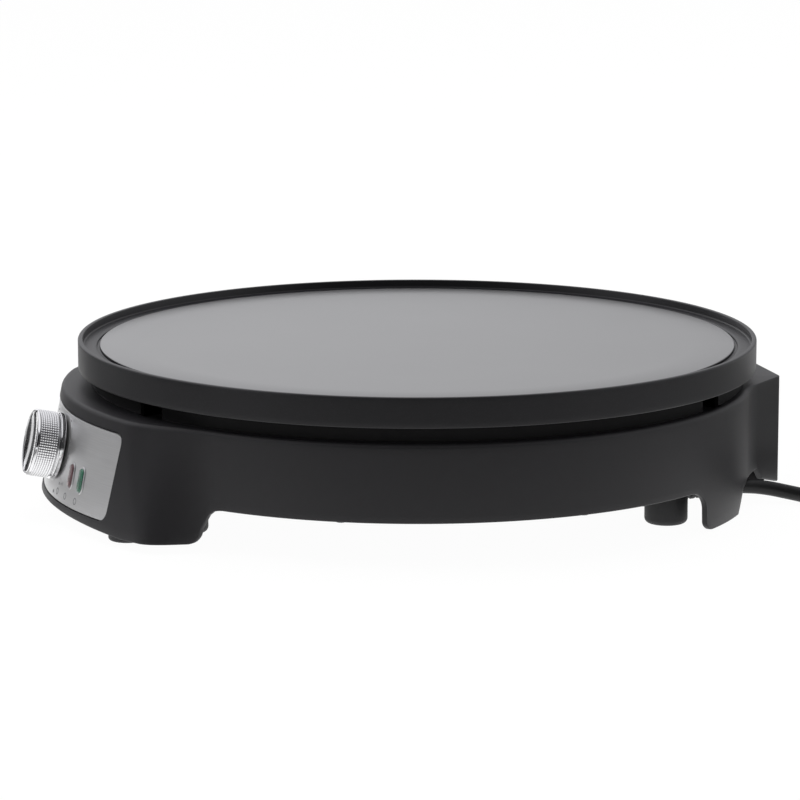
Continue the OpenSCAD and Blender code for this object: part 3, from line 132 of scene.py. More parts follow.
# Supports under the hotplate, feet, the cover's screws and the console's pads
SUPPORTS = [(134.0, 23.0), (134.0, -23.0), (131.0, 136.0), (131.0, -136.0)]
SUPPORT_HALF = math.degrees(8.3 / 152)
POST_TOP = 54.5
POST_R = 10.0
FOOT_TOP = 14.0
COVER_SCREWS = [(WALL_R - WALL_T - 3.1, side * a) for side in (-1, 1) for a in (62, 104, 154.5)]
SCREW_BOSS_LOW = 22.65
SCREW_BOSS_TOP = 42.6
PADS = [(CONSOLE_R - 15.0, -22.0), (CONSOLE_R - 15.0, 22.0)]
PAD_H = 5.6
PAD_R = 9.0


class CrepeMakerSizes(bpy.types.PropertyGroup):
    """Sizes that can be changed without leaving the solids' box"""

    edge_round: FloatProperty(
        name="Edge rounding", description="Rounding of the base's top edge",
        default=2.4 * MM, min=0.5 * MM, max=4 * MM, subtype="DISTANCE", unit="LENGTH")
    lip_round: FloatProperty(
        name="Lip rounding", description="Rounding of the hotplate's lip",
        default=0.8 * MM, min=0.2 * MM, max=0.9 * MM, subtype="DISTANCE", unit="LENGTH")
    knob_diameter: FloatProperty(
        name="Knob diameter", description="Outer diameter of the knob",
        default=31.2 * MM, min=24 * MM, max=31.2 * MM, subtype="DISTANCE", unit="LENGTH")
    flutes: IntProperty(
        name="Flutes", description="Flutes round the knob's grip", default=76, min=16, max=90)
    grip_rings: IntProperty(
        name="Grip rings", description="Ring grooves along the knob's grip", default=8, min=2, max=10)
    dish: FloatProperty(
        name="Face dish", description="Depth of the hollow in the knob's face",
        default=1.3 * MM, min=0.2 * MM, max=2 * MM, subtype="DISTANCE", unit="LENGTH")
    cord_diameter: FloatProperty(
        name="Lead diameter", description="Outer diameter of the mains lead",
        default=6.8 * MM, min=5 * MM, max=6.8 * MM, subtype="DISTANCE", unit="LENGTH")
    screw_head: FloatProperty(
        name="Screw head diameter", description="Head diameter of the cover's screws",
        default=5.6 * MM, min=4 * MM, max=6 * MM, subtype="DISTANCE", unit="LENGTH")


class CrepeMakerColours(bpy.types.PropertyGroup):
    """Base colours of the finishes"""

    coating: FloatVectorProperty(
        name="Hotplate coating", description="Colour of the non-stick coating",
        default=(0.0058, 0.0056, 0.0068), subtype="COLOR", min=0, max=1)
    housing: FloatVectorProperty(
        name="Housing", description="Colour of the moulded base",
        default=(0.0086, 0.0082, 0.0095), subtype="COLOR", min=0, max=1)
    panel: FloatVectorProperty(
        name="Panel", description="Colour of the control panel",
        default=(0.54, 0.54, 0.545), subtype="COLOR", min=0, max=1)
    chrome: FloatVectorProperty(
        name="Chrome", description="Colour of the plated knob",
        default=(0.70, 0.70, 0.71), subtype="COLOR", min=0, max=1)
    rubber: FloatVectorProperty(
        name="Rubber", description="Colour of the feet and the lead",
        default=(0.016, 0.016, 0.017), subtype="COLOR", min=0, max=1)
    lens_power: FloatVectorProperty(
        name="Power lens", description="Colour of the power lamp's lens",
        default=(0.050, 0.014, 0.018), subtype="COLOR", min=0, max=1)
    lens_ready: FloatVectorProperty(
        name="Ready lens", description="Colour of the ready lamp's lens",
        default=(0.006, 0.062, 0.034), subtype="COLOR", min=0, max=1)
    backdrop: FloatVectorProperty(
        name="Backdrop", description="Colour of the floor and the background",
        default=(1.0, 1.0, 1.0), subtype="COLOR", min=0, max=1)


# ---------------------------------------------------------------- shader trees


class Value:
    """A socket of a shader tree that takes part in arithmetic."""

    def __init__(self, shader, socket):
        self.shader = shader
        self.socket = socket

    def _maths(self, operation, *operands, clamp=False):
        node = self.shader.node("ShaderNodeMath", dict(operation=operation, use_clamp=clamp),
                                dict(enumerate(operands)))
        return Value(self.shader, node.outputs[0])

    def __add__(self, other):
        return self._maths("ADD", self, other)

    __radd__ = __add__

    def __sub__(self, other):
        return self._maths("SUBTRACT", self, other)

    def __rsub__(self, other):
        return self._maths("SUBTRACT", other, self)

    def __mul__(self, other):
        return self._maths("MULTIPLY", self, other)

    __rmul__ = __mul__

    def __truediv__(self, other):
        return self._maths("DIVIDE", self, other)

    def __gt__(self, other):
        return self._maths("GREATER_THAN", self, other)

    def __lt__(self, other):
        return self._maths("LESS_THAN", self, other)

    def sine(self):
        return self._maths("SINE", self)

    def limited(self):
        return self._maths("ADD", self, 0.0, clamp=True)

    def step(self, low, high):
        """0 below low, 1 above high, smooth between."""
        node = self.shader.node("ShaderNodeMapRange", dict(interpolation_type="SMOOTHSTEP"),
                                {"Value": self, "From Min": low, "From Max": high})
        return Value(self.shader, node.outputs["Result"])


class Shader:
    """A material and the nodes that make it."""

    def __init__(self, name, viewport=(0.5, 0.5, 0.5)):
        self.material = bpy.data.materials.new(name)
        self.material.use_nodes = True
        self.material.diffuse_color = (*viewport, 1)
        self.tree = self.material.node_tree
        self.tree.nodes.clear()
        self.output = self.tree.nodes.new("ShaderNodeOutputMaterial")
        self.coordinates = None

    def node(self, kind, settings=None, inputs=None):
        """A node of that kind, with its settings made first and then its sockets."""
        node = self.tree.nodes.new(kind)
        for key, value in (settings or {}).items():
            setattr(node, key, value)
        for key, value in (inputs or {}).items():
            socket = node.inputs[key]
            if isinstance(value, Value):
                self.tree.links.new(value.socket, socket)
            else:
                socket.default_value = value
        return node

    def place(self):
        """Object coordinates, in metres."""
        if self.coordinates is None:
            self.coordinates = self.node("ShaderNodeTexCoord")
        return Value(self, self.coordinates.outputs["Object"])

    def axes(self):
        node = self.node("ShaderNodeSeparateXYZ", None, {"Vector": self.place()})
        return [Value(self, node.outputs[i]) for i in range(3)]

    def beyond(self, inner, outer):
        """0 within the inner radius round the hotplate's axis, 1 beyond the outer, in millimetres."""
        x, y, _ = self.axes()
        back = y - AXIS_Y * MM
        return (x * x + back * back).step((inner * MM) ** 2, (outer * MM) ** 2)

    def above(self, low, high):
        """0 below the low height, 1 above the high one, in millimetres."""
        return self.axes()[2].step(low * MM, high * MM)

    def stretched(self, scale):
        """Object coordinates, scaled."""
        node = self.node("ShaderNodeMapping", None, {"Vector": self.place(), "Scale": scale})
        return Value(self, node.outputs["Vector"])

    def noise(self, scale, detail=3.0, roughness=0.5, at=None):
        node = self.node("ShaderNodeTexNoise", None, {
            "Vector": at or self.place(), "Scale": scale, "Detail": detail, "Roughness": roughness})
        return Value(self, node.outputs["Fac"])

    def cells(self, scale):
        node = self.node("ShaderNodeTexVoronoi", dict(feature="F1"), {"Vector": self.place(), "Scale": scale})
        return Value(self, node.outputs["Distance"])

    def mixed(self, factor, low, high):
        """A colour between low and high."""
        node = self.node("ShaderNodeMix", dict(data_type="RGBA"), {0: factor})
        sockets = [s for s in node.inputs if s.type == "RGBA"]
        for socket, colour in zip(sockets, (low, high)):
            if isinstance(colour, Value):
                self.tree.links.new(colour.socket, socket)
            else:
                socket.default_value = (*colour, 1)
        return Value(self, next(s for s in node.outputs if s.type == "RGBA"))

    def toned(self, factor, colour, low, high):
        """That colour, its brightness times low to high."""
        return self.mixed(factor, tinted(colour, low), tinted(colour, high))

    def mixed_shaders(self, factor, low, high):
        """A shader's socket between the sockets low and high."""
        node = self.node("ShaderNodeMixShader", None, {0: factor})
        self.tree.links.new(low, node.inputs[1])
        self.tree.links.new(high, node.inputs[2])
        return node.outputs[0]

    def bump(self, height, distance, strength):
        node = self.node("ShaderNodeBump", None,
                         {"Height": height, "Distance": distance, "Strength": strength})
        return Value(self, node.outputs["Normal"])

    def surface(self, **sockets):
        """The Principled shader, with sockets named in words joined by underscores."""
        inputs = {key.replace("_", " ").title().replace("Ior", "IOR"): value
                  for key, value in sockets.items()}
        if not isinstance(inputs["Base Color"], Value):
            inputs["Base Color"] = (*inputs["Base Color"], 1)
        node = self.node("ShaderNodeBsdfPrincipled", None, inputs)
        self.tree.links.new(node.outputs[0], self.output.inputs["Surface"])
        return self.material


class Sky(Shader):
    """The world's nodes."""

    def __init__(self, name, scene):
        world = bpy.data.worlds.new(name)
        world.use_nodes = True
        scene.world = world
        self.tree = world.node_tree
        self.tree.nodes.clear()
        self.output = self.tree.nodes.new("ShaderNodeOutputWorld")
        self.coordinates = None

    def place(self):
        """The direction looked at."""
        if self.coordinates is None:
            self.coordinates = self.node("ShaderNodeTexCoord")
        return Value(self, self.coordinates.outputs["Generated"])

    def towards(self, way):
        """How far the direction looked at agrees with way."""
        node = self.node("ShaderNodeVectorMath", dict(operation="DOT_PRODUCT"), {0: self.place(), 1: way})
        return Value(self, node.outputs["Value"])

    def background(self, colour, strength):
        node = self.node("ShaderNodeBackground", None, {"Color": (*colour, 1), "Strength": strength})
        return node.outputs[0]


def tinted(colour, factor):
    """That colour, darker or lighter by a factor."""
    return tuple(min(1.0, c * factor) for c in colour[:3])


MATERIALS = {}


def finish_of(name):
    """The finish of that name, made once."""
    if name not in MATERIALS:
        MATERIALS[name] = FINISHES[name](bpy.context.scene.crepe_maker_colours)
    return MATERIALS[name]


def coating_finish(colours):
    """Non-stick coating on cast aluminium: satin, with a fine pebble and faint cloudiness."""
    s = Shader("Non-stick coating", colours.coating)
    cloud = s.noise(14, 4, 0.6)
    pebble = s.noise(1300, 2, 0.6)
    fleck = s.cells(900)
    tone = s.toned(cloud.step(0.35, 0.7), colours.coating, 0.92, 1.10)
    tone = s.mixed((fleck < 0.2) * 0.5, tone, tinted(colours.coating, 2.2))
    # The cooking face is smoother and glossier than the cast sides
    face = s.above(DISC_TOP - 0.6, DISC_TOP - 0.2) * (1 - s.beyond(DISC_R - 0.3, DISC_R + 0.3))
    return s.surface(base_color=tone, roughness=0.50 - face * 0.14 + cloud * 0.05 + pebble * 0.04,
                     specular_ior_level=0.20, coat_weight=0.28 + face * 0.72, coat_roughness=0.30,
                     normal=s.bump(pebble * (1 - face * 0.7), 0.09 * MM, 0.8))


def housing_finish(colours):
    """Black polypropylene moulding with a fine spark-eroded grain."""
    s = Shader("Moulded housing", colours.housing)
    grain = s.noise(2300, 2, 0.55)
    flow = s.noise(9, 3, 0.5)
    tone = s.toned(flow.step(0.3, 0.7), colours.housing, 0.93, 1.08)
    # Painted shade: the collar above the flange, down in the gap under the hotplate, is darkened to a tenth
    # of the housing's colour to stand for the shade there, and made rougher so that it shines less
    inner = s.above(WALL_TOP - 0.2, WALL_TOP + 0.3) * (1 - s.beyond(COLLAR_R + 0.8, COLLAR_R + 1.5))
    tone = s.mixed(inner * 0.8, tone, tinted(colours.housing, 0.1))
    return s.surface(base_color=tone, roughness=0.44 + inner * 0.4 + grain * 0.08 + flow * 0.04,
                     specular_ior_level=0.30,
                     normal=s.bump(grain, 0.05 * MM, 0.35))


def panel_finish(colours):
    """Satin metal sheet, brushed along its length."""
    s = Shader("Satin panel", colours.panel)
    lines = s.noise(60, 4, 0.65, s.stretched((0.6, 0.6, 60)))
    fine = s.noise(160, 3, 0.6, s.stretched((1, 1, 45)))
    tone = s.toned(lines.step(0.25, 0.75), colours.panel, 0.95, 1.05)
    return s.surface(base_color=tone, metallic=0.85, roughness=0.27 + fine * 0.12,
                     specular_ior_level=0.5, normal=s.bump(fine, 0.02 * MM, 0.25))


def chrome_finish(colours):
    """Bright plating, with the faint haze of a moulded part under it."""
    s = Shader("Bright plating", colours.chrome)
    haze = s.noise(220, 3, 0.5)
    tone = s.toned(haze, colours.chrome, 0.97, 1.02)
    return s.surface(base_color=tone, metallic=1.0, roughness=0.07 + haze * 0.05)


def rubber_finish(colours):
    """Matt rubber with a little dust on it."""
    s = Shader("Foot rubber", colours.rubber)
    grain = s.noise(900, 3, 0.6)
    dust = s.noise(60, 4, 0.6)
    tone = s.toned(dust.step(0.4, 0.8), colours.rubber, 0.9, 1.3)
    return s.surface(base_color=tone, roughness=0.62 + grain * 0.12,
                     normal=s.bump(grain, 0.06 * MM, 0.5))


def sheath_finish(colours):
    """PVC sheath of the lead: smooth, with the slight waviness of the cores below it."""
    s = Shader("Lead sheath", colours.rubber)
    colour = tinted(colours.rubber, 0.45)
    wave = s.noise(90, 2, 0.5)
    grain = s.noise(1500, 2, 0.5)
    tone = s.toned(wave, colour, 0.85, 1.12)
    return s.surface(base_color=tone, roughness=0.42 + grain * 0.08, specular_ior_level=0.25,
                     normal=s.bump(wave * 0.6 + grain * 0.4, 0.06 * MM, 0.5))


def lens_finish(name, colour):
    """Tinted translucent plastic, with the ribs moulded inside it."""
    s = Shader(name, colour)
    z = s.axes()[2]
    rib = ((z + 1.0 * MM * s.noise(90, 1)) * (2 * math.pi / (1.1 * MM))).sine()
    deep = s.noise(260, 2, 0.5)
    tone = s.toned(rib.step(-0.6, 0.9), colour, 0.8, 1.35)
    tone = s.mixed(deep.step(0.35, 0.75), tone, tinted(colour, 1.6))
    return s.surface(base_color=tone, roughness=0.16 + deep * 0.06, coat_weight=0.6,
                     coat_roughness=0.06)


def metal_finish(name, colour, rough, grain_scale=500):
    """A metal with fine drawing lines and uneven brightness."""
    s = Shader(name, colour)
    lines = s.noise(grain_scale, 3, 0.6, s.stretched((1, 1, 0.15)))
    tint = s.noise(120, 3, 0.5)
    tone = s.toned(tint.step(0.3, 0.7), colour, 0.86, 1.08)
    return s.surface(base_color=tone, metallic=1.0, roughness=rough + lines * 0.12,
                     normal=s.bump(lines, 0.02 * MM, 0.3))


def plain_finish(name, colour, rough, grain_scale=800, spread=(0.92, 1.08), depth=0.04, strength=0.4):
    """An even material with a fine grain: the spread of its tone, and the grain's depth in millimetres."""
    s = Shader(name, colour)
    grain = s.noise(grain_scale, 3, 0.6)
    tone = s.toned(grain, colour, *spread)
    return s.surface(base_color=tone, roughness=rough + grain * 0.1,
                     normal=s.bump(grain, depth * MM, strength))


def glass_finish():
    """Clear glass with the warm tint of the gas in it."""
    s = Shader("Lamp glass", (0.9, 0.6, 0.4))
    glow = s.noise(400, 2, 0.5)
    tone = s.mixed(glow, (0.9, 0.55, 0.35), (0.98, 0.75, 0.55))
    return s.surface(base_color=tone, roughness=0.05 + glow * 0.03, transmission_weight=0.8, ior=1.45)


def print_finish():
    """Grey screen print on the panel."""
    s = Shader("Panel print", (0.25, 0.25, 0.26))
    ink = s.noise(700, 3, 0.6)
    tone = s.mixed(ink, (0.135, 0.135, 0.145), (0.18, 0.18, 0.19))
    return s.surface(base_color=tone, roughness=0.5 + ink * 0.1)


FINISHES = {
    "coating": coating_finish,
    "housing": housing_finish,
    "cover": lambda c: plain_finish("Moulded cover", tinted(c.housing, 0.9), 0.58, 1100,
                                    (0.9, 1.15), 0.08, 0.5),
    "panel": panel_finish,
    "chrome": chrome_finish,
    "rubber": rubber_finish,
    "sheath": sheath_finish,
    "plug": lambda c: plain_finish("Plug moulding", tuple(c.rubber), 0.46, 1300, (0.9, 1.15), 0.06, 0.45),
    "lens_power": lambda c: lens_finish("Red lens", tuple(c.lens_power)),
    "lens_ready": lambda c: lens_finish("Green lens", tuple(c.lens_ready)),
    "print": lambda c: print_finish(),
    "glass": lambda c: glass_finish(),
    "black_zinc": lambda c: metal_finish("Blackened steel", (0.035, 0.035, 0.037), 0.42),
    "zinc": lambda c: metal_finish("Zinc-plated steel", (0.56, 0.56, 0.57), 0.30),
    "element": lambda c: metal_finish("Element sheath", (0.30, 0.27, 0.24), 0.38),
    "reflector": lambda c: metal_finish("Reflector sheet", (0.74, 0.74, 0.75), 0.22, 300),
    "copper": lambda c: metal_finish("Drawn copper", (0.72, 0.40, 0.26), 0.28),
    "brass": lambda c: metal_finish("Brass", (0.72, 0.55, 0.26), 0.27),
    "ceramic": lambda c: plain_finish("Ceramic", (0.78, 0.75, 0.67), 0.30),
    "holder": lambda c: plain_finish("Lamp carrier", (0.72, 0.72, 0.68), 0.45),
    "fuse": lambda c: metal_finish("Tinned case", (0.70, 0.66, 0.55), 0.32),
    "wire_brown": lambda c: plain_finish("Brown insulation", (0.13, 0.055, 0.028), 0.4),
    "wire_blue": lambda c: plain_finish("Blue insulation", (0.02, 0.08, 0.34), 0.4),
    "wire_green": lambda c: plain_finish("Green and yellow insulation", (0.30, 0.42, 0.04), 0.4),
    "wire_white": lambda c: plain_finish("Glass-fibre sleeve", (0.68, 0.66, 0.60), 0.8, 1500),
}

# Finish of every solid that shows as it is
NODE_FINISHES = {
    "heating_element": "element", "element_terminals": "ceramic", "heat_reflector": "reflector",
    "reflector_washers": "zinc", "reflector_nuts": "zinc", "support_bushes": "ceramic",
    "support_screws": "zinc", "sensor_bulb": "copper", "bulb_clip": "zinc",
    "capillary_tube": "copper", "thermal_fuse": "fuse", "fuse_clip": "zinc",
    "earth_screw": "brass", "earth_tag": "brass", "bottom_cover": "cover",
    "knob_spring": "zinc", "thermostat_shaft": "zinc", "thermostat_cam": "brass",
    "thermostat_body": "zinc", "thermostat_terminals": "brass", "thermostat_screws": "zinc",
    "lamp_holder": "holder", "neon_lamps": "glass", "terminal_block": "ceramic",
    "terminal_screws": "brass", "cord_clamp": "cover", "clamp_screws": "zinc",
    "live_wire": "wire_brown", "neutral_wire": "wire_blue", "earth_wire": "wire_green",
    "heater_wire": "wire_white", "lamp_wires": "wire_white", "inner_cord": "sheath",
}


# ---------------------------------------------------------------- mesh helpers


def at(x, y, z):
    """A point given in millimetres from the hotplate's axis."""
    return Vector((x * MM, (y + AXIS_Y) * MM, z * MM))


def polar(r, a, z=0.0):
    """A point at radius r and angle a from the front, positive to the right."""
    return at(r * math.sin(math.radians(a)), -r * math.cos(math.radians(a)), z)


def placed(name, data):
    """An object with that data, in the scene."""
    thing = bpy.data.objects.new(name, data)
    bpy.context.scene.collection.objects.link(thing)
    return thing


def meshed(name, vertices, faces=()):
    """A mesh from its vertices and faces."""
    mesh = bpy.data.meshes.new(name)
    mesh.from_pydata([tuple(v) for v in vertices], [], faces)
    mesh.validate()
    return mesh


def made(name, shape, finish, body, replaces, slot, sharp):
    """A piece from a shape of vertices and faces, smooth but for edges over the sharp angle."""
    return dressed(name, meshed(name, *shape), finish, body, replaces, sharp)


def made_outward(*settings):
    """The same, with its faces pointed outwards after that."""
    piece = made(*settings)
    outward(piece.data)
    return piece


def dressed(name, mesh, finish, body, replaces, sharp):
    """A piece from its mesh, with its finish, the body it rides on and the nodes it stands for."""
    piece = placed(name, mesh)
    mesh.materials.clear()
    mesh.materials.append(finish_of(finish))
    smoothed(mesh, sharp)
    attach(piece, body)
    if replaces:
        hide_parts(*replaces)
    return piece


def smoothed(mesh, sharp):
    """Makes a mesh smooth but for edges over the sharp angle."""
    mesh.polygons.foreach_set("use_smooth", [True] * len(mesh.polygons))
    mesh.set_sharp_from_angle(angle=math.radians(sharp))
    mesh.update()


def loose(name, shape):
    """A blank that is cut, or a cutter."""
    mesh = meshed(name, *shape)
    outward(mesh)
    return placed(name, mesh)


def cut(blank, cutters):
    """The blank's mesh without the cutters' space. The blank and the cutters are removed."""
    for cutter in cutters:
        modifier = blank.modifiers.new("cut", "BOOLEAN")
        modifier.operation = "DIFFERENCE"
        modifier.solver = "EXACT"
        modifier.object = cutter
    mesh = plain_mesh(blank)
    for spent in (blank, *cutters):
        bpy.data.objects.remove(spent)
    return mesh


def plain_mesh(piece):
    """The evaluated mesh of a piece, with its modifiers gone."""
    depsgraph = bpy.context.evaluated_depsgraph_get()
    mesh = bpy.data.meshes.new_from_object(piece.evaluated_get(depsgraph))
    piece.modifiers.clear()
    piece.data = mesh
    return mesh


def loops_to_faces(rows, columns, close_rows, close_columns):
    """Quads of a grid whose vertices run row by row."""
    faces = []
    for i in range(rows if close_rows else rows - 1):
        for j in range(columns if close_columns else columns - 1):
            k, m = (i + 1) % rows, (j + 1) % columns
            faces.append((i * columns + j, i * columns + m, k * columns + m, k * columns + j))
    return faces


def lathe(profile, segments, centre=None):
    """Vertices and faces of a profile of (radius, height) turned round an axis.

    The profile runs from the axis at the bottom, outwards and back to the axis at the top.
    """
    vertices, faces = [], []
    rings = []
    for r, z in profile:
        if r < 1e-6:
            rings.append([len(vertices)])
            vertices.append(Vector((0, 0, z * MM)))
        else:
            rings.append(list(range(len(vertices), len(vertices) + segments)))
            vertices += [Vector((r * MM * math.cos(2 * math.pi * i / segments),
                                 r * MM * math.sin(2 * math.pi * i / segments), z * MM))
                         for i in range(segments)]
    for a, b in zip(rings, rings[1:]):
        for i in range(segments):
            j = (i + 1) % segments
            if len(a) == 1 and len(b) == 1:
                continue
            if len(a) == 1:
                faces.append((a[0], b[j], b[i]))
            elif len(b) == 1:
                faces.append((a[i], a[j], b[0]))
            else:
                faces.append((a[i], a[j], b[j], b[i]))
    if centre is not None:
        vertices = [v + centre for v in vertices]
    return vertices, faces


def rod(r, low, high):
    """Profile of a plain rod between two heights."""
    return [(0, low), (r, low), (r, high), (0, high)]


def joined(*shapes):
    """One shape of vertices and faces from several."""
    vertices, faces = [], []
    for more_vertices, more_faces in shapes:
        base = len(vertices)
        vertices += more_vertices
        faces += [tuple(i + base for i in f) for f in more_faces]
    return vertices, faces


def moved(shape, matrix):
    """A shape put in place by a matrix."""
    return [matrix @ v for v in shape[0]], shape[1]


def arc(cx, cz, r, start, end, steps):
    """Points of an arc round a centre, between two angles in degrees."""
    return [(cx + r * math.cos(math.radians(start + (end - start) * i / steps)),
             cz + r * math.sin(math.radians(start + (end - start) * i / steps)))
            for i in range(steps + 1)]


def prism(outline, z0, z1):
    """A closed prism over an outline of points that runs counter-clockwise."""
    n = len(outline)
    vertices = [Vector((x * MM, y * MM, z * MM)) for z in (z0, z1) for x, y in outline]
    faces = [tuple(reversed(range(n))), tuple(range(n, 2 * n))]
    faces += [(i, (i + 1) % n, n + (i + 1) % n, n + i) for i in range(n)]
    return vertices, faces


def lens_outline(r, steps=12):
    """Outline round a lamp's lens: an upright slot with end radius r."""
    half = (LENS_LENGTH - LENS_WIDTH) / 2
    return arc(0, half, r, 0, 180, steps) + arc(0, -half, r, 180, 360, steps)


def lens_rings(rings, place, closed):
    """A shape of lens outlines of (end radius, height), closed on itself or with a face at each end."""
    vertices = [Vector((x * MM, y * MM, z * MM)) for r, z in rings for x, y in lens_outline(r)]
    n = len(vertices) // len(rings)
    faces = loops_to_faces(len(rings), n, closed, True)
    if not closed:
        faces += [tuple(reversed(range(n))), tuple(range(n * (len(rings) - 1), n * len(rings)))]
    return moved((vertices, faces), place)


def radial_bar(half, inner, outer, low, high):
    """A bar towards the front between two radii and two heights."""
    return prism([(-half, -outer), (half, -outer), (half, -inner), (-half, -inner)], low, high)


def turned(angle, x=0.0, y=0.0):
    """A place at x and y from the hotplate's axis, turned by that angle."""
    return Matrix.Translation(at(x, y, 0)) @ Matrix.Rotation(math.radians(angle), 4, "Z")


def on_panel(angle, z):
    """Frame on the panel's face: z out of the panel, y up its slope."""
    stand = Matrix.Translation(Vector((0, -panel_r(z) * MM, z * MM)))
    lean = Matrix.Rotation(math.radians(90) - SLOPE, 4, "X")
    return turned(angle) @ stand @ lean


def panel_cutters(hub, slots, segments):
    """Cutters for the shaft's hole and the lamps' slots, each between two heights over the panel."""
    shaft = lathe(rod(SHAFT_HOLE_R, *hub), segments)
    cutters = [loose("shaft_hole", moved(shaft, on_panel(0, KNOB_Z)))]
    for a in LAMP_ANGLES.values():
        slot = prism(lens_outline(LAMP_HOLE_R), *slots)
        cutters.append(loose("lamp_hole", moved(slot, on_panel(a, LAMP_Z))))
    return cutters


# ---------------------------------------------------------------- shape of the base


def cone_r(z):
    """Radius of the console's sloping face at height z."""
    return CONSOLE_R - z * math.tan(SLOPE)


def panel_r(z):
    """Radius of the panel's face at height z."""
    return cone_r(z) - PANEL_RECESS / math.cos(SLOPE)


def ease(x):
    """0 to 1 with level ends, over x from 0 to 1."""
    t = min(1.0, max(0.0, x))
    return t * t * (3 - 2 * t)


def smooth_min(a, b, k):
    """The smaller of two, rounded over where they differ by less than k."""
    h = max(k - abs(a - b), 0.0) / k
    return min(a, b) - h * h * k / 4


def shell_r(a, z):
    """Outer radius of the moulding at angle a from the front and height z."""
    away = abs(a)
    if away <= CONSOLE_END:
        start = CONSOLE_HALF + 8 * (1 - z / WALL_TOP)
        out = 1 - ease((away - start) / (CONSOLE_END - start))
        return WALL_R + (cone_r(z) - WALL_R) * out
    back = math.radians(180 - away)
    reach = WALL_R + BLEND_R
    turn = math.radians(45) - math.acos(((BLOCK_HALF + BLOCK_Y) / math.sqrt(2) + BLEND_R) / reach)
    if back >= turn:
        return WALL_R
    # The slanted side sweeps into the round over a hollow of radius BLEND_R
    across = reach * math.cos(back - turn)
    hollow = across - math.sqrt(max(0.0, across * across - reach * reach + BLEND_R * BLEND_R))
    flare = (BLOCK_HALF + BLOCK_Y) / (math.sin(back) + math.cos(back))
    start_x = reach * math.sin(turn) - BLEND_R / math.sqrt(2)
    if flare * math.sin(back) > start_x:
        flare = hollow
    return smooth_min(flare, BLOCK_Y / math.cos(back), 1.4)


def along(outline, x):
    """Height of an outline of (place, height) at x."""
    for (x0, z0), (x1, z1) in zip(outline, outline[1:]):
        if x0 <= x <= x1:
            return z0 + (z1 - z0) * (x - x0) / (x1 - x0)
    return outline[-1][1]


def bulge(y, centre, r):
    """How far a circle of that centre and radius stands from its middle at y."""
    return math.sqrt(max(0, r * r - (y - centre) ** 2))


def skirt_z(x, y):
    """Height of the moulding's lower edge at that place."""
    side = abs(x)
    if y < -100:
        rise = ARCH_LOW - SKIRT_LOW
        arch_r = (ARCH_HALF * ARCH_HALF + rise * rise) / (2 * rise)
        low = SKIRT_LOW
        if side < ARCH_HALF:
            low = ARCH_LOW - arch_r + math.sqrt(arch_r * arch_r - side * side)
        if y > -127:
            return along(SIDE_EDGE, y)
        if y > -133:
            return max(low, SIDE_LOW - bulge(y, -133, 6))
        return low
    if y < 95:
        return WALL_LOW
    low = along(REAR_EDGE, side)
    if y < 105:
        return max(low, 10 + bulge(y, 95, 10))
    if y < 110:
        return max(low, 5.5 - bulge(y, 110, 5))
    return low


def lower_edge(a):
    """Height of the lower edge in the direction a."""
    z = WALL_LOW
    for _ in range(6):
        r = shell_r(a, z)
        x = r * math.sin(math.radians(a))
        y = -r * math.cos(math.radians(a))
        z = 0.5 * (z + skirt_z(x, y))
    return skirt_z(x, y)


def in_window(a):
    """Whether the collar is cut away there for a support's bracket."""
    return any(abs((a - support + 180) % 360 - 180) < SUPPORT_HALF for _, support in SUPPORTS)


def shell_angles():
    """Angles of the base's sections, closer where its edge turns."""
    corners = [180 - math.degrees(math.atan2(x, y)) for x, y in FLARE_CORNERS]
    corners += [180 - math.degrees(math.asin(x / WALL_R)) for x in LEG_SIDES]
    angles = sorted({-180 + 0.75 * i for i in range(480)} | {side * a for side in (-1, 1) for a in corners})
    refined = []
    for a, b in zip(angles, angles[1:] + [180.0]):
        parts = 1
        if abs(lower_edge(a) - lower_edge(b)) > 0.5:
            parts = 8
        if in_window(a) != in_window(b):
            parts = 24
        if abs(abs(a) - corners[0]) < 2.5:
            parts = max(parts, 4)
        refined += [a + (b - a) * i / parts for i in range(parts)]
    return refined


def shell_section(a, round_top):
    """Closed section of the moulding at angle a, from the outer lower edge up and round."""
    low = lower_edge(a)
    # The block's top edge is crisp, the round wall's is soft
    block_share = 1 - ease((180 - abs(a) - 19) / 7)
    round_top += (min(round_top, 0.5) - round_top) * block_share
    top = WALL_TOP
    edge_z = top - round_top
    out = []
    foot = 0.7
    for r, z in arc(0, low + foot, foot, -80, 0, 3):
        out.append((shell_r(a, z) - foot + r, z))
    steps = 12
    for i in range(1, steps):
        z = low + foot + (edge_z - low - foot) * i / steps
        out.append((shell_r(a, z), z))
    edge_r = shell_r(a, edge_z)
    out += arc(edge_r - round_top, edge_z, round_top, 0, 90, 6)
    window = in_window(a)
    step_r = WALL_R - WALL_T
    step_z = POST_TOP if window else top
    crown = POST_TOP if window else COLLAR_TOP
    soft = 0.0 if window else 0.35
    out += [(step_r, top), (step_r - 0.01, step_z), (COLLAR_R + 0.2, step_z),
            (COLLAR_R, step_z + (0 if window else 0.2)), (COLLAR_R, crown - soft),
            (COLLAR_R - soft, crown), (COLLAR_R - COLLAR_T + soft, crown),
            (COLLAR_R - COLLAR_T, crown - soft), (COLLAR_R - COLLAR_T, COLLAR_LOW),
            (COLLAR_R, COLLAR_LOW), (COLLAR_R, top - FLANGE_T)]
    inner_top = top - FLANGE_T
    inner_low = low + 0.3
    for i in range(9):
        z = inner_top + (inner_low - inner_top) * i / 8
        out.append((shell_r(a, z) - WALL_T, z))
    out.append((shell_r(a, low) - WALL_T + 0.4, low))
    return out


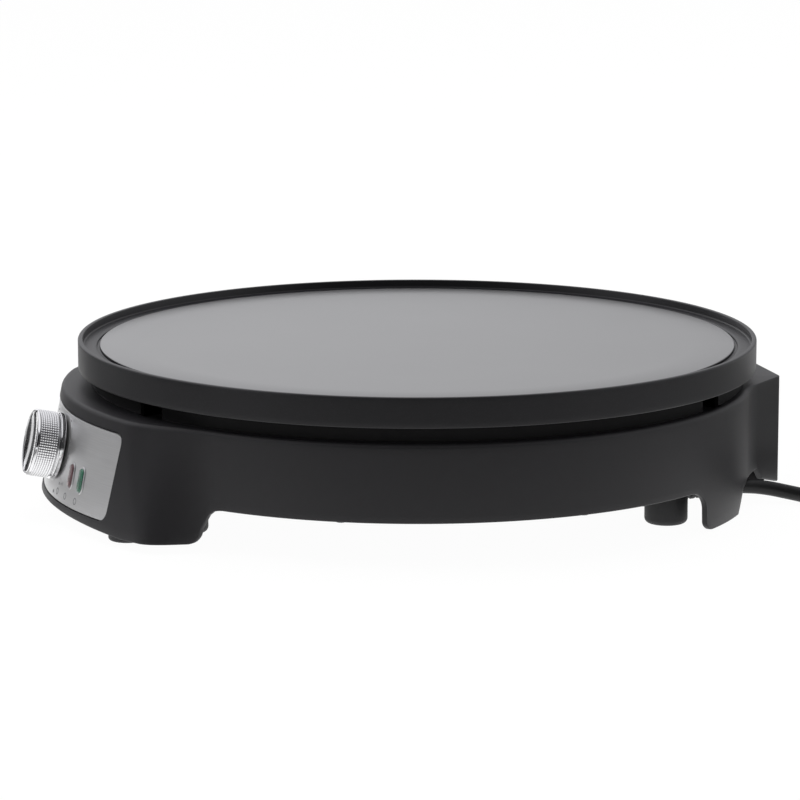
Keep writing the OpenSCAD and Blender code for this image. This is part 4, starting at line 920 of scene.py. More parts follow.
def panel_sheet(grow, out, inward, short=0.0):
    """A piece of the console's face, between two depths, over the panel's rounded outline."""
    low, high = PANEL_LOW - grow, PANEL_HIGH + grow - short
    half, corner = PANEL_HALF + grow, PANEL_CORNER + grow
    levels = [low + corner * (1 - math.cos(math.radians(90 * i / 8))) for i in range(9)]
    levels += [low + corner + (high - low - 2 * corner) * i / 12 for i in range(1, 12)]
    levels += [high - corner + corner * math.sin(math.radians(90 * i / 8)) for i in range(9)]
    columns = 96
    # Columns stand closer towards the ends, where the outline is round
    reach = math.pi / 2 * 0.98

    def half_width(z):
        d = max(0.0, low + corner - z, z - (high - corner))
        return half - corner + math.sqrt(max(0.0, corner * corner - d * d))

    def sheet(depth, inset=0.0):
        points = []
        for z in levels:
            w = half_width(z)
            zz = min(max(z, low + inset), high - inset)
            for i in range(columns + 1):
                x = (w - inset) * math.sin(reach * (2 * i / columns - 1)) / math.sin(reach)
                r = panel_r(zz) + depth / math.cos(SLOPE)
                points.append(at(x, -math.sqrt(r * r - x * x), zz))
        return points

    bevel = min(0.2, (out + inward) / 4)
    front, back = sheet(out, bevel), sheet(-inward)
    rim = sheet(out - bevel)
    rows, cols = len(levels), columns + 1
    faces = loops_to_faces(rows, cols, False, False)
    border = list(range(cols)) + [i * cols + cols - 1 for i in range(1, rows)]
    border += [(rows - 1) * cols + j for j in range(cols - 2, -1, -1)]
    border += [i * cols for i in range(rows - 2, 0, -1)]
    vertices = list(front)
    rim_index = {v: len(vertices) + k for k, v in enumerate(border)}
    vertices += [rim[v] for v in border]
    base = len(vertices)
    vertices += back
    n = len(border)
    for k in range(n):
        a, b = border[k], border[(k + 1) % n]
        faces.append((b, a, rim_index[a], rim_index[b]))
        faces.append((rim_index[b], rim_index[a], base + a, base + b))
    faces += [tuple(base + i for i in reversed(f)) for f in loops_to_faces(rows, cols, False, False)]
    return vertices, faces


# ---------------------------------------------------------------- operators


# Ways from the object on the floor plan: to the camera, and to what its flanks mirror
TO_CAMERA = (0.978, -0.208, 0.0)
TO_LEFT = (-0.26, -0.966, 0.0)
TO_FAR_LEFT = (-0.616, -0.788, 0.0)
TO_FAR_RIGHT = (-0.616, 0.788, 0.0)
CAMERA_PLACE = (1894.71, -516.07, 424.42)
CAMERA_AIM = (-2.10, -7.82, 45.2)
FRONT_Y = -0.16

# Name, place and width in metres, and power in watts
LAMPS = [("key", (-0.6, -1.6, 1.7), 1.2, 20), ("side", (1.0, -2.0, 0.5), 1.0, 3),
         ("top", (-0.3, 0.1, 2.2), 1.4, 36), ("fill", (1.8, 0.9, 1.5), 1.4, 6),
         ("back", (-1.6, 1.2, 1.5), 1.4, 10)]


class CREPE_OT_stage(bpy.types.Operator):
    """Sets the floor, the lamps, the world and the camera"""

    bl_idname = "crepe_maker.stage"
    bl_label = "Stage"

    def execute(self, context):
        scene = context.scene
        scene.view_settings.view_transform = "Standard"
        colours = scene.crepe_maker_colours
        camera_data = bpy.data.cameras.new("Camera")
        camera_data.lens = 189.8
        camera_data.sensor_width = 36
        camera_data.clip_end = 30
        camera = placed("Camera", camera_data)
        camera.location = at(*CAMERA_PLACE)
        direction = at(*CAMERA_AIM) - camera.location
        camera.rotation_euler = direction.to_track_quat("-Z", "Y").to_euler()
        scene.camera = camera
        self.floor(colours)
        self.world(scene, colours)
        self.lamps()
        self.flags()
        return {"FINISHED"}

    def floor(self, colours):
        """A white sheet that shows plain to the camera and shaded to mirror images."""
        s = Shader("Floor", colours.backdrop)
        path = s.node("ShaderNodeLightPath")
        seen = Value(s, path.outputs["Is Camera Ray"])
        glossy = Value(s, path.outputs["Is Glossy Ray"])
        diffuse = s.node("ShaderNodeBsdfDiffuse", None, {"Color": (0.86, 0.86, 0.86, 1)})
        # Mirror images find it brightest round the object, with a darker strip to the far left
        x, y, _ = s.axes()
        near = 1 - (x * x + y * y).step(0.15 ** 2, 0.42 ** 2)
        out = y - FRONT_Y
        way = x * TO_FAR_LEFT[0] + out * TO_FAR_LEFT[1]
        strip = (way * way / (x * x + out * out)).step(0.82, 0.94) * (way > 0)
        behind = 1 - x.step(-0.26, -0.08)
        tone = (0.24 + near * 1.22 + behind * 0.65) * (1 - strip * 0.55)
        glow = s.node("ShaderNodeEmission", None,
                      {"Color": (*colours.backdrop, 1), "Strength": seen + glossy * tone})
        # The rest of the floor's share is diffuse and keeps the object's shadow
        share = (seen + glossy).limited() * 0.97
        s.tree.links.new(s.mixed_shaders(share, diffuse.outputs[0], glow.outputs[0]),
                         s.output.inputs["Surface"])
        half = 6
        corners = [(-half, -half, 0), (half, -half, 0), (half, half, 0), (-half, half, 0)]
        mesh = meshed("floor", corners, [(0, 1, 2, 3)])
        mesh.materials.append(s.material)
        placed("floor", mesh)

    def world(self, scene, colours):
        """White to the camera, plain to diffuse rays, and a studio with darker sides to mirror images."""
        s = Sky("Studio", scene)
        z = s.axes()[2]
        ahead = s.towards(TO_CAMERA)
        front = (ahead * ahead / (1.0001 - z * z)).step(0.18, 0.65) * (ahead > 0)
        high = 0.04 + z.step(0.45, 0.90) * 0.56
        side = s.towards(TO_FAR_LEFT).step(0.90, 0.97) * (1 - z.step(0.08, 0.35))
        gain = 1 + s.towards(TO_LEFT).step(-0.1, 0.5) * 0.25
        dip = 1 - s.towards(TO_FAR_RIGHT).step(0.76, 0.97) * 0.35
        strength = (1 - front + front * high) * (1 - side * 0.75) * gain * dip
        path = s.node("ShaderNodeLightPath")
        plain = s.background((1, 1, 1), 0.55)
        mirrored = s.background((0.975, 0.975, 1.0), strength)
        white = s.background(colours.backdrop, 1.0)
        seen = Value(s, path.outputs["Is Camera Ray"]) + Value(s, path.outputs["Is Transmission Ray"])
        first = s.mixed_shaders(Value(s, path.outputs["Is Glossy Ray"]), plain, mirrored)
        second = s.mixed_shaders(seen.limited(), first, white)
        s.tree.links.new(second, s.output.inputs["Surface"])

    def flags(self):
        """Dark upright cards that only mirror images see, so that bright plating gets its edges."""
        s = Shader("Flag", (0.02, 0.02, 0.02))
        s.surface(base_color=(0.02, 0.02, 0.021), roughness=0.6 + s.noise(3) * 0.2, specular_ior_level=0.1)
        vertices, faces = [], []
        origin, middle = Vector((0, FRONT_Y, 0.001)), Vector((-0.945, -0.319, 0))
        near, far, height = 0.10, 0.6, Vector((0, 0, 0.30))
        for turns in ((-6.5, 2), (7.5, 15.5)):
            n = len(vertices)
            for turn in turns:
                way = Matrix.Rotation(math.radians(turn), 3, "Z") @ middle
                vertices += [origin + way * near, origin + way * far, origin + way * far + height]
            # A strip along the floor, and the card at its far end
            faces += [(n, n + 3, n + 4, n + 1), (n + 1, n + 4, n + 5, n + 2)]
        # One more before the knob's edge, clear of what the console's flank mirrors
        n = len(vertices)
        low, high = 0.045, 0.15
        right, left = (0.10, -0.30), (-0.005, -0.335)
        vertices += [Vector(v) for v in ((*left, low), (*right, low), (*right, high), (*left, high))]
        faces.append((n, n + 1, n + 2, n + 3))
        mesh = meshed("flags", vertices, faces)
        mesh.materials.append(s.material)
        cards = placed("flags", mesh)
        cards.visible_camera = cards.visible_diffuse = cards.visible_shadow = False
        cards.visible_transmission = False

    def lamps(self):
        aim = Vector((0, 0, 0.04))
        for name, place, size, power in LAMPS:
            data = bpy.data.lights.new(name, "AREA")
            data.shape = "SQUARE"
            data.size = size
            data.energy = power
            lamp = placed(name, data)
            lamp.location = place
            lamp.visible_glossy = False
            lamp.rotation_euler = (aim - Vector(place)).to_track_quat("-Z", "Y").to_euler()


# The lead's route as it lies on the table, in millimetres from the hotplate's axis
CORD_ROUTE = [
    (60.4, 134, 8.6), (60.3, 139, 8.3), (60.1, 144, 7.9), (60.3, 150, 7.3), (61.6, 156, 6.4),
    (64.2, 161.5, 5.4), (68, 166.5, 4.6), (73, 171.5, 3.9), (79, 177, 3.5), (85.5, 184, 3.4),
    (91.5, 192, 3.4), (96.6, 201, 3.4), (101, 211.1, 3.4)]
COIL_CENTRE = (60.0, 226.0)
COIL_R = 40.2
COIL_TURNS = 3
GROMMET = (60.4, 108, 8.6)
TIE_T = 0.5
TIE_WIDTH = 3.6
PLUG_ROUTE = [
    (60, 269.6, 10.2), (52, 269.6, 10.7), (44, 269.2, 12), (36, 268.4, 14), (28, 267.6, 16),
    (21, 267.1, 17.6), (15, 267, 18.3)]
# The plug's pieces stand on one axis, which runs towards -x from here
PLUG_PLACE = (15.0, 267.0, 18.5)
BOOT_LENGTH = 26.0
PLUG_LENGTH = 30.0
PLUG_R = 18.5
CLIP_DEPTH = 2.2
PIN_SPACING = 19.0


def coil_points(d):
    """The turns of the coil, side by side and one upon another, from the lead to the plug's end."""
    x, y, _ = CORD_ROUTE[-1]
    start = math.degrees(math.atan2(y - COIL_CENTRE[1], x - COIL_CENTRE[0]))
    sweep = 90 - start + COIL_TURNS * 360
    outer, inner = COIL_R + d / 2, COIL_R - d / 2
    points = []
    steps = 84
    for i in range(1, steps):
        share = sweep * i / steps / 360
        a = math.radians(start + 360 * share)
        # Outer turn below, then the inner turn below, the inner turn above and the outer turn above
        r = outer + (inner - outer) * (ease((share - 0.80) / 0.30) - ease((share - 2.15) / 0.30))
        z = d / 2 + d * ease((share - 1.62) / 0.36)
        points.append((COIL_CENTRE[0] + r * math.cos(a), COIL_CENTRE[1] + r * math.sin(a), z))
    return points


class CREPE_OT_lead(bpy.types.Operator):
    """Lays the mains lead, its coil, the tie, the strain relief and the plug"""

    bl_idname = "crepe_maker.lead"
    bl_label = "Mains lead"

    def execute(self, context):
        d = context.scene.crepe_maker_sizes.cord_diameter / MM
        route = [at(*p) for p in CORD_ROUTE + coil_points(d) + PLUG_ROUTE]
        curve = bpy.data.curves.new("mains_lead", "CURVE")
        curve.dimensions = "3D"
        curve.bevel_depth = d / 2 * MM
        curve.bevel_resolution = 7
        curve.resolution_u = 8
        curve.use_fill_caps = True
        spline = curve.splines.new("BEZIER")
        spline.bezier_points.add(len(route) - 1)
        for i, (point, place) in enumerate(zip(spline.bezier_points, route)):
            before, after = route[max(0, i - 1)], route[min(len(route) - 1, i + 1)]
            way = (after - before).normalized()
            point.co = place
            point.handle_left = place - way * (place - before).length / 3
            point.handle_right = place + way * (after - place).length / 3
        lead = placed("mains_lead", curve)
        curve.materials.append(finish_of("sheath"))
        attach(lead, "base")
        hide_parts("power_cord", "cord_coil", "plug_lead")
        relief = self.strain_relief()
        tie = self.coil_tie(d)
        boot = self.plug_boot()
        body = self.plug_body()
        pins = self.plug_pins()
        clips = self.plug_clips()
        return {"FINISHED"}

    def length_of(self, route):
        """Length of the smooth line, from its chords and the bulge between them."""
        total = 0.0
        for i, (a, b) in enumerate(zip(route, route[1:])):
            chord = (b - a).length
            before = (b - route[max(0, i - 1)]).normalized()
            after = (route[min(len(route) - 1, i + 2)] - a).normalized()
            bend = before.angle(after, 0.0)
            total += chord * (1 + bend * bend / 24)
        return round(total, 3)

    def strain_relief(self):
        """A grommet whose ribbed tail tapers down to the lead."""
        profile = [(0, -4.1), (4.9, -4.1), (5.7, -3.9), (5.7, -2.3), (5.05, -2.05), (5.05, 0.05),
                   (6.2, 0.1), (6.4, 0.4), (6.4, 1.7), (6.1, 2.0), (5.6, 2.1)]
        length = 26.0
        ribs = 6
        for i in range(ribs):
            z = 3.2 + i * 3.3
            r = 5.55 - (z - 2) / (length - 2) * 1.7
            profile += [(r, z), (r - 0.75, z + 0.35), (r - 0.8, z + 1.25), (r - 0.12, z + 1.6)]
        profile += [(3.95, length - 1.0), (3.75, length - 0.2), (3.5, length), (0, length)]
        place = Matrix.Translation(at(*GROMMET)) @ Matrix.Rotation(-math.pi / 2, 4, "X")
        return made("strain_relief_grommet", moved(lathe(profile, 40), place), "rubber", "base",
                    ("strain_relief",), "rubber", 40)

    def coil_tie(self, d):
        """A bag tie bent round the turns."""
        r0, r1, top = COIL_R - d - 0.75, COIL_R + d + 0.75, 2 * d + 0.75
        path = [(r0, 0.35), (r0, top - 2), (r0 + 0.7, top - 0.5), (r0 + 2, top),
                (r1 - 2, top), (r1 - 0.7, top - 0.5), (r1, top - 2), (r1, 0.35)]
        vertices, faces = [], []
        place = turned(200, *COIL_CENTRE)
        n = len(path)
        for i, (r, z) in enumerate(path):
            a, b = path[max(0, i - 1)], path[min(n - 1, i + 1)]
            way = Vector((b[0] - a[0], b[1] - a[1])).normalized()
            normal = Vector((-way.y, way.x))
            for side, lift in ((-1, 1), (1, 1), (1, -1), (-1, -1)):
                p = Vector((r, 0, z)) + Vector((normal.x, 0, normal.y)) * lift * TIE_T / 2
                vertices.append(place @ (Vector((p.x, side * TIE_WIDTH / 2, p.z)) * MM))
        for i in range(n - 1):
            for k in range(4):
                m = (k + 1) % 4
                faces.append((i * 4 + k, i * 4 + m, (i + 1) * 4 + m, (i + 1) * 4 + k))
        faces += [(3, 2, 1, 0), tuple((n - 1) * 4 + k for k in range(4))]
        return made_outward("coil_band", (vertices, faces), "cover", "base", ("coil_tie",), "cover", 30)

    def plug_place(self, reach):
        """A place that far along the plug's axis, with z along it."""
        x, y, z = PLUG_PLACE
        return Matrix.Translation(at(x - reach, y, z)) @ Matrix.Rotation(-math.pi / 2, 4, "Y")

    def plug_boot(self):
        """Ribbed bend protection between the lead and the plug."""
        length = BOOT_LENGTH
        profile = [(0, 0), (3.5, 0), (3.9, 0.3), (4.15, 1.0)]
        for i in range(6):
            z = 3 + i * 3.5
            r = 4.2 + (z / length) * 2.3
            profile += [(r - 0.05, z), (r - 0.75, z + 0.3), (r - 0.7, z + 1.4), (r + 0.12, z + 1.7)]
        profile += [(6.5, length - 0.2), (6.5, length), (0, length)]
        boot = moved(lathe(profile, 40), self.plug_place(0))
        return made("plug_boot_ribs", boot, "plug", "base", ("plug_boot",), "plug", 40)

    def plug_body(self):
        """Round moulded plug with recessed earth clips."""
        profile = [(0, 0), (8.6, 0), (9.3, 0.6), (11.5, 3.4), (13, 5.1)]
        profile += [(13 + 4.5 * ease(i / 6), 5.1 + 12.9 * i / 6) for i in range(1, 7)]
        profile += [(18.2, 19.1), (PLUG_R, 20.2), (PLUG_R, 29.2), (18.25, 29.75), (17.8, PLUG_LENGTH),
                    (0, PLUG_LENGTH)]
        past = PLUG_LENGTH + 4
        half = 4
        cutters = []
        # The clips' slots, then the holes that the pins stand in
        for side in (-1, 1):
            low = side * (PLUG_R - CLIP_DEPTH) - (half if side < 0 else 0)
            slot = [(low, -half), (low + half, -half), (low + half, half), (low, half)]
            cutters.append(prism(slot, 14, past))
        for side in (-1, 1):
            spot = Vector((0, side * PIN_SPACING / 2 * MM, 0))
            cutters.append(lathe(rod(2.4, 22, past), 32, spot))
        place = self.plug_place(BOOT_LENGTH)
        blank = loose("plug_blank", moved(lathe(profile, 96), place))
        mesh = cut(blank, [loose("plug_cutter", moved(cutter, place)) for cutter in cutters])
        return dressed("plug_moulding", mesh, "plug", "base", ("plug_body",), 30)

    def plug_pins(self):
        """The two round contact pins."""
        profile = [(0, -7.5), (2.34, -7.5), (2.35, 16.9), (2.2, 18.0), (1.75, 18.7), (1.1, 19), (0, 19)]
        shapes = [lathe(profile, 32, Vector((0, side * PIN_SPACING / 2 * MM, 0))) for side in (-1, 1)]
        pins = moved(joined(*shapes), self.plug_place(BOOT_LENGTH + PLUG_LENGTH))
        return made("plug_contact_pins", pins, "brass", "base", ("plug_pins",), "brass", 40)

    def plug_clips(self):
        """The earth springs in the plug's two slots."""
        shapes = []
        for side in (-1, 1):
            c = side * (PLUG_R - CLIP_DEPTH + 0.55)
            shapes.append(prism([(c - 0.4, -3), (c + 0.4, -3), (c + 0.5, -2.6), (c + 0.5, 2.6),
                                 (c + 0.4, 3), (c - 0.4, 3), (c - 0.5, 2.6), (c - 0.5, -2.6)], -15.5, -0.6))
        clips = moved(joined(*shapes), self.plug_place(BOOT_LENGTH + PLUG_LENGTH))
        return made("plug_earth_springs", clips, "zinc", "base", ("plug_earth_clips",), "zinc_steel", 40)


def outward(mesh):
    """Points a closed mesh's faces outwards."""
    work = bmesh.new()
    work.from_mesh(mesh)
    bmesh.ops.remove_doubles(work, verts=work.verts, dist=1e-7)
    bmesh.ops.recalc_face_normals(work, faces=work.faces)
    work.to_mesh(mesh)
    work.free()
    mesh.update()


class CREPE_OT_hotplate(bpy.types.Operator):
    """Turns the hotplate with its lip, ledge, groove and disc"""

    bl_idname = "crepe_maker.hotplate"
    bl_label = "Hotplate"

    def execute(self, context):
        soft = context.scene.crepe_maker_sizes.lip_round / MM
        low, lip, disc, ledge, under = RIM_LOW, RIM_TOP, DISC_TOP, LEDGE_TOP, PLATE_UNDER
        outer, disc_r = PLATE_R, DISC_R
        # The channel that the heating element lies in
        channel_in, channel_out, channel_top = 91.6, 98.4, under + 2.2
        rim_in = outer - 4
        profile = [(0, under), (channel_in, under), (channel_in, channel_top), (channel_out, channel_top),
                   (channel_out, under), (rim_in, under), (rim_in, low + 0.3), (rim_in + 0.3, low)]
        profile += arc(outer - 0.7, low + 0.7, 0.7, -90, 0, 4)
        profile += [(outer, low + (lip - low) * i / 5) for i in range(1, 5)]
        profile += arc(outer - soft, lip - soft, soft, 0, 90, 6)
        profile += arc(outer - 1.8, lip - 0.5, 0.5, 90, 165, 4)
        profile += arc(outer - 2.2 - 0.9, ledge + 0.9, 0.9, -10, -90, 5)
        profile += [(disc_r + 1.4 + (outer - 3.1 - disc_r - 1.4) * i / 3, ledge) for i in (2, 1)]
        profile += [(disc_r + 1.6, ledge), (disc_r + 1.4, ledge - 0.15), (disc_r + 1.3, ledge - 0.7),
                    (disc_r + 0.9, ledge - 0.8), (disc_r + 0.3, ledge - 0.8), (disc_r, ledge - 0.6),
                    (disc_r, disc - 0.55)]
        profile += arc(disc_r - 0.5, disc - 0.5, 0.5, 0, 90, 4)[1:]
        profile += [(r, disc) for r in (130, 100, 65, 30)] + [(0, disc)]
        shapes = [lathe(profile, 360, at(0, 0, 0))]
        # The bosses on the supports, the reflector's studs and the earth screw's boss
        top = under + 0.9
        for r, a in SUPPORTS:
            boss = [(0, BOSS_LOW), (7.6, BOSS_LOW), (8, BOSS_LOW + 0.4), (8, top), (0, top)]
            shapes.append(lathe(boss, 32, polar(r, a)))
        for r, a in STUDS:
            stud = [(0, 49.1), (1.8, 49.1), (2, 49.4), (2, 56.3), (4.2, 56.3), (4.5, 56.6), (4.5, top),
                    (0, top)]
            shapes.append(lathe(stud, 24, polar(r, a)))
        boss = [(0, BOSS_LOW), (4.2, BOSS_LOW), (4.5, BOSS_LOW + 0.3), (4.5, top), (0, top)]
        shapes.append(lathe(boss, 24, polar(*EARTH_BOSS)))
        made("hotplate_casting", joined(*shapes), "coating", "base", ("hotplate",), "coating", 50)
        return {"FINISHED"}


class CREPE_OT_base(bpy.types.Operator):
    """Sweeps the moulded base, cuts the panel's pocket and adds the posts inside"""

    bl_idname = "crepe_maker.base"
    bl_label = "Base"

    def execute(self, context):
        round_top = context.scene.crepe_maker_sizes.edge_round / MM
        angles = shell_angles()
        sections = [shell_section(a, round_top) for a in angles]
        vertices = [polar(r, a, z) for a, section in zip(angles, sections) for r, z in section]
        rows, columns = len(angles), len(sections[0])
        faces = [tuple(reversed(f)) for f in loops_to_faces(rows, columns, True, True)]
        blank = loose("base_blank", (vertices, faces))
        pocket = loose("pocket", panel_sheet(0.25, 2.0, PANEL_T + 0.15))
        mesh = cut(blank, [pocket] + panel_cutters((-12, 6), (-7, 4), 40))
        dressed("base_moulding", mesh, "housing", "base", ("base_shell",), 32)
        self.posts()
        return {"FINISHED"}

    def posts(self):
        """Posts, brackets and screw bosses inside the moulding."""
        shapes = []
        for r, a in SUPPORTS:
            post = [(0, FOOT_TOP), (4.2, FOOT_TOP), (POST_R, FOOT_TOP), (POST_R, POST_TOP - 0.4),
                    (POST_R - 0.4, POST_TOP), (2.25, POST_TOP), (0, POST_TOP - 0.1)]
            shapes.append(lathe(post, 48, polar(r, a)))
            shapes.append(moved(radial_bar(8, r, COLLAR_R - 0.8, POST_TOP - 3, POST_TOP), turned(a)))
            shapes.append(moved(radial_bar(1.5, r, 156, 23.5, POST_TOP - 2.5), turned(a)))
        for r, a in COVER_SCREWS:
            low, top = SCREW_BOSS_LOW, SCREW_BOSS_TOP
            boss = [(0, low), (1.5, low), (4.2, low), (4.2, top - 0.4), (3.8, top), (0, top)]
            shapes.append(lathe(boss, 24, polar(r, a)))
        for r, a in PADS:
            top = PAD_H + 9
            boss = [(0, PAD_H), (PAD_R - 0.3, PAD_H), (PAD_R, PAD_H + 0.3), (PAD_R, top), (0, top)]
            shapes.append(lathe(boss, 40, polar(r, a)))
            shapes.append(moved(radial_bar(4, r, cone_r(top) - 1.3, PAD_H + 1, top), turned(a)))
        for x in (-CORD_RIB_X, CORD_RIB_X):
            rib = prism([(x - 1.2, 118), (x + 1.2, 118), (x + 1.2, 157.9), (x - 1.2, 157.9)], 6, 19.5)
            shapes.append(moved(rib, turned(0)))
        made("base_posts", joined(*shapes), "housing", "base", ("base_shell",), "housing", 40)


class CREPE_OT_panel(bpy.types.Operator):
    """Lays the control panel into its pocket, with its printed marks"""

    bl_idname = "crepe_maker.panel"
    bl_label = "Control panel"

    def execute(self, context):
        # The sheet ends short of its pocket's top, which leaves a dark line there
        sheet = loose("panel_blank", panel_sheet(0.0, 0.0, PANEL_T, 0.9))
        mesh = cut(sheet, panel_cutters((-4, 4), (-4, 4), 48))
        dressed("panel_sheet", mesh, "panel", "base", ("control_panel",), 30)
        self.marks()
        return {"FINISHED"}

    def marks(self):
        """Generic dots and rings: a scale of heat round the knob and a ring below each lamp."""
        shapes = []
        lift, sink = 0.035, -0.02
        for i in range(SCALE_DOTS):
            a = math.radians(195 - 30 * i)
            r = 0.42 + 0.04 * i
            centre = Vector((SCALE_R * math.cos(a) * MM, SCALE_R * math.sin(a) * MM, 0))
            dot = lathe(rod(r, sink, lift), 20, centre)
            shapes.append(moved(dot, on_panel(0, KNOB_Z)))
        inner, outer = 1.15, 1.65
        ring = lathe([(inner, sink), (outer, sink), (outer, lift), (inner, lift), (inner, sink)], 28)
        for x in RING_PLACES:
            angle = math.degrees(math.asin(x / panel_r(MARK_Z)))
            shapes.append(moved(ring, on_panel(angle, MARK_Z)))
        made_outward("panel_marks", joined(*shapes), "print", "base", (), "panel", 40)


class CREPE_OT_knob(bpy.types.Operator):
    """Turns the knob with its knurled grip and its dished face"""

    bl_idname = "crepe_maker.knob"
    bl_label = "Knob"

    def execute(self, context):
        sizes = context.scene.crepe_maker_sizes
        radius = sizes.knob_diameter / 2 / MM
        place = on_panel(0, KNOB_Z)
        self.grip(place, radius, sizes.flutes, sizes.grip_rings)
        self.face(place, radius, sizes.dish / MM)
        return {"FINISHED"}

    def grip(self, place, radius, flutes, rings):
        """The skirt, the crossed grooves of the grip and the rim, one closed shell."""
        base, top = KNOB_LOW, KNOB_TOP
        face_r = radius - KNOB_RIM
        start, end = base + 3.5, top - 1.2
        # A groove's depth, as a share of the deepest, over the six steps of a flute or a ring
        groove = (1.0, 0.35, 0.0, 0.0, 0.0, 0.35)
        ring_depth, flute_depth = 0.48, 0.15
        around = flutes * len(groove)
        profile = [(radius - 0.9, base, 0), (radius - 0.15, base + 0.15, 0), (radius, base + 0.45, 0),
                   (radius, base + 1.9, 0), (radius - 0.2, base + 2.15, 0), (radius - 0.75, base + 2.35, 0),
                   (radius - 0.8, base + 2.7, 0), (radius - 0.7, base + 3.1, 0),
                   (radius - 0.25, base + 3.3, 0)]
        steps = rings * len(groove)
        for i in range(steps + 1):
            s = start + (end - start) * i / steps
            edge = min(1.0, i / 3, (steps - i) / 3)
            profile.append((radius - 0.05 - ring_depth * groove[i % len(groove)], s, edge))
        recess = top - KNOB_RECESS
        profile += [(radius - 0.05, end + 0.15, 0), (radius, end + 0.3, 0), (radius, top - 0.75, 0),
                    (radius - 0.1, top - 0.62, 0), (radius - 0.35, top - 0.36, 0),
                    (radius - 0.62, top - 0.1, 0), (radius - 0.78, top, 0), (face_r + 0.2, top, 0),
                    (face_r + 0.08, top - 0.1, 0), (face_r + 0.03, top - 0.3, 0), (face_r + 0.03, recess, 0)]
        # Back of the recess, and the hollow behind with its hub
        bore, hub, hollow, hollow_top = 3.05, 6.4, radius - 3, recess - 1.4
        profile += [(bore, recess, 0), (bore, base, 0), (hub, base, 0), (hub, hollow_top, 0),
                    (hollow, hollow_top, 0), (hollow, base, 0)]
        vertices = []
        for r, s, grip in profile:
            for k in range(around):
                a = 2 * math.pi * k / around
                depth = flute_depth * groove[k % len(groove)] * grip
                vertices.append(Vector(((r - depth) * math.cos(a), (r - depth) * math.sin(a), s)) * MM)
        faces = loops_to_faces(len(profile), around, True, True)
        shell = moved((vertices, faces), place)
        knob = made_outward("knob_grip", shell, "chrome", "knob", ("knob_body",), "chrome", 24)
        smoothed(knob.data, 24)

    def face(self, place, radius, dish):
        """The dished disc in the knob's front."""
        top, recess = KNOB_TOP, KNOB_TOP - KNOB_RECESS
        r = radius - KNOB_RIM
        profile = [(0, recess), (r - 0.1, recess), (r, recess + 0.1), (r, top - 0.45),
                   (r - 0.12, top - 0.25), (r - 0.35, top - 0.18)]
        inner, steps = r - 0.75, 24
        for i in range(steps + 1):
            share = 1 - i / steps
            profile.append((inner * share, top - 0.3 - dish * (1 - share * share)))
        disc = moved(lathe(profile, 120), place)
        made("knob_face_disc", disc, "chrome", "knob", ("knob_face",), "chrome", 24)


class CREPE_OT_lamps(bpy.types.Operator):
    """Sets the two lenses and their frames into the panel"""

    bl_idname = "crepe_maker.lamps"
    bl_label = "Lamps"

    def execute(self, context):
        frames = []
        for name, a in LAMP_ANGLES.items():
            place = on_panel(a, LAMP_Z)
            self.lens(name, place, "lens_red" if name == "power" else "lens_green")
            frames.append(self.bezel(place))
        made_outward("lamp_frames", joined(*frames), "zinc", "base", ("lamp_bezels",), "bezel", 35)
        return {"FINISHED"}

    def lens(self, name, place, slot):
        """A domed lens, which replaces the node of its name."""
        node = "lens_" + name
        rings = [(2.33, -6.0), (2.33, 0.35), (2.28, 0.6), (2.1, 0.8), (1.8, 0.9)]
        lens = lens_rings(rings, place, False)
        made_outward("lens_cap_" + name, lens, node, "base", (node,), slot, 40)

    def bezel(self, place):
        """The frame round a lens."""
        rings = [(2.9, -3.6), (2.9, 0.02), (3.25, 0.05), (3.3, 0.2), (3.2, 0.42), (2.95, 0.5),
                 (2.6, 0.5), (2.42, 0.4), (2.4, 0.2), (2.4, -3.6)]
        return lens_rings(rings, place, True)


class CREPE_OT_feet(bpy.types.Operator):
    """Moulds the round feet and the front pads"""

    bl_idname = "crepe_maker.feet"
    bl_label = "Feet"

    def execute(self, context):
        shapes = []
        for r, a in SUPPORTS:
            profile = [(0, 0.5), (4.4, 0.5), (4.8, 0.1), (5.2, 0)]
            profile += arc(7.4, 2.6, 2.6, -90, 0, 8)
            profile += [(POST_R, FOOT_TOP - 0.4), (POST_R - 0.1, FOOT_TOP - 0.1), (POST_R - 0.4, FOOT_TOP),
                        (4.05, FOOT_TOP), (4.05, 19.1), (3.7, 19.5), (0, 19.5)]
            shapes.append(lathe(profile, 64, polar(r, a)))
        made("rubber_feet", joined(*shapes), "rubber", "base", ("round_feet",), "rubber", 40)
        shapes = []
        for r, a in PADS:
            soft = 1.4
            profile = [(0, 0)] + arc(PAD_R - soft, soft, soft, -90, 0, 6)
            profile += arc(PAD_R - soft, PAD_H - soft, soft, 0, 90, 6) + [(0, PAD_H)]
            shapes.append(lathe(profile, 48, polar(r, a)))
        made("rubber_pads", joined(*shapes), "rubber", "base", ("front_pads",), "rubber", 40)
        return {"FINISHED"}


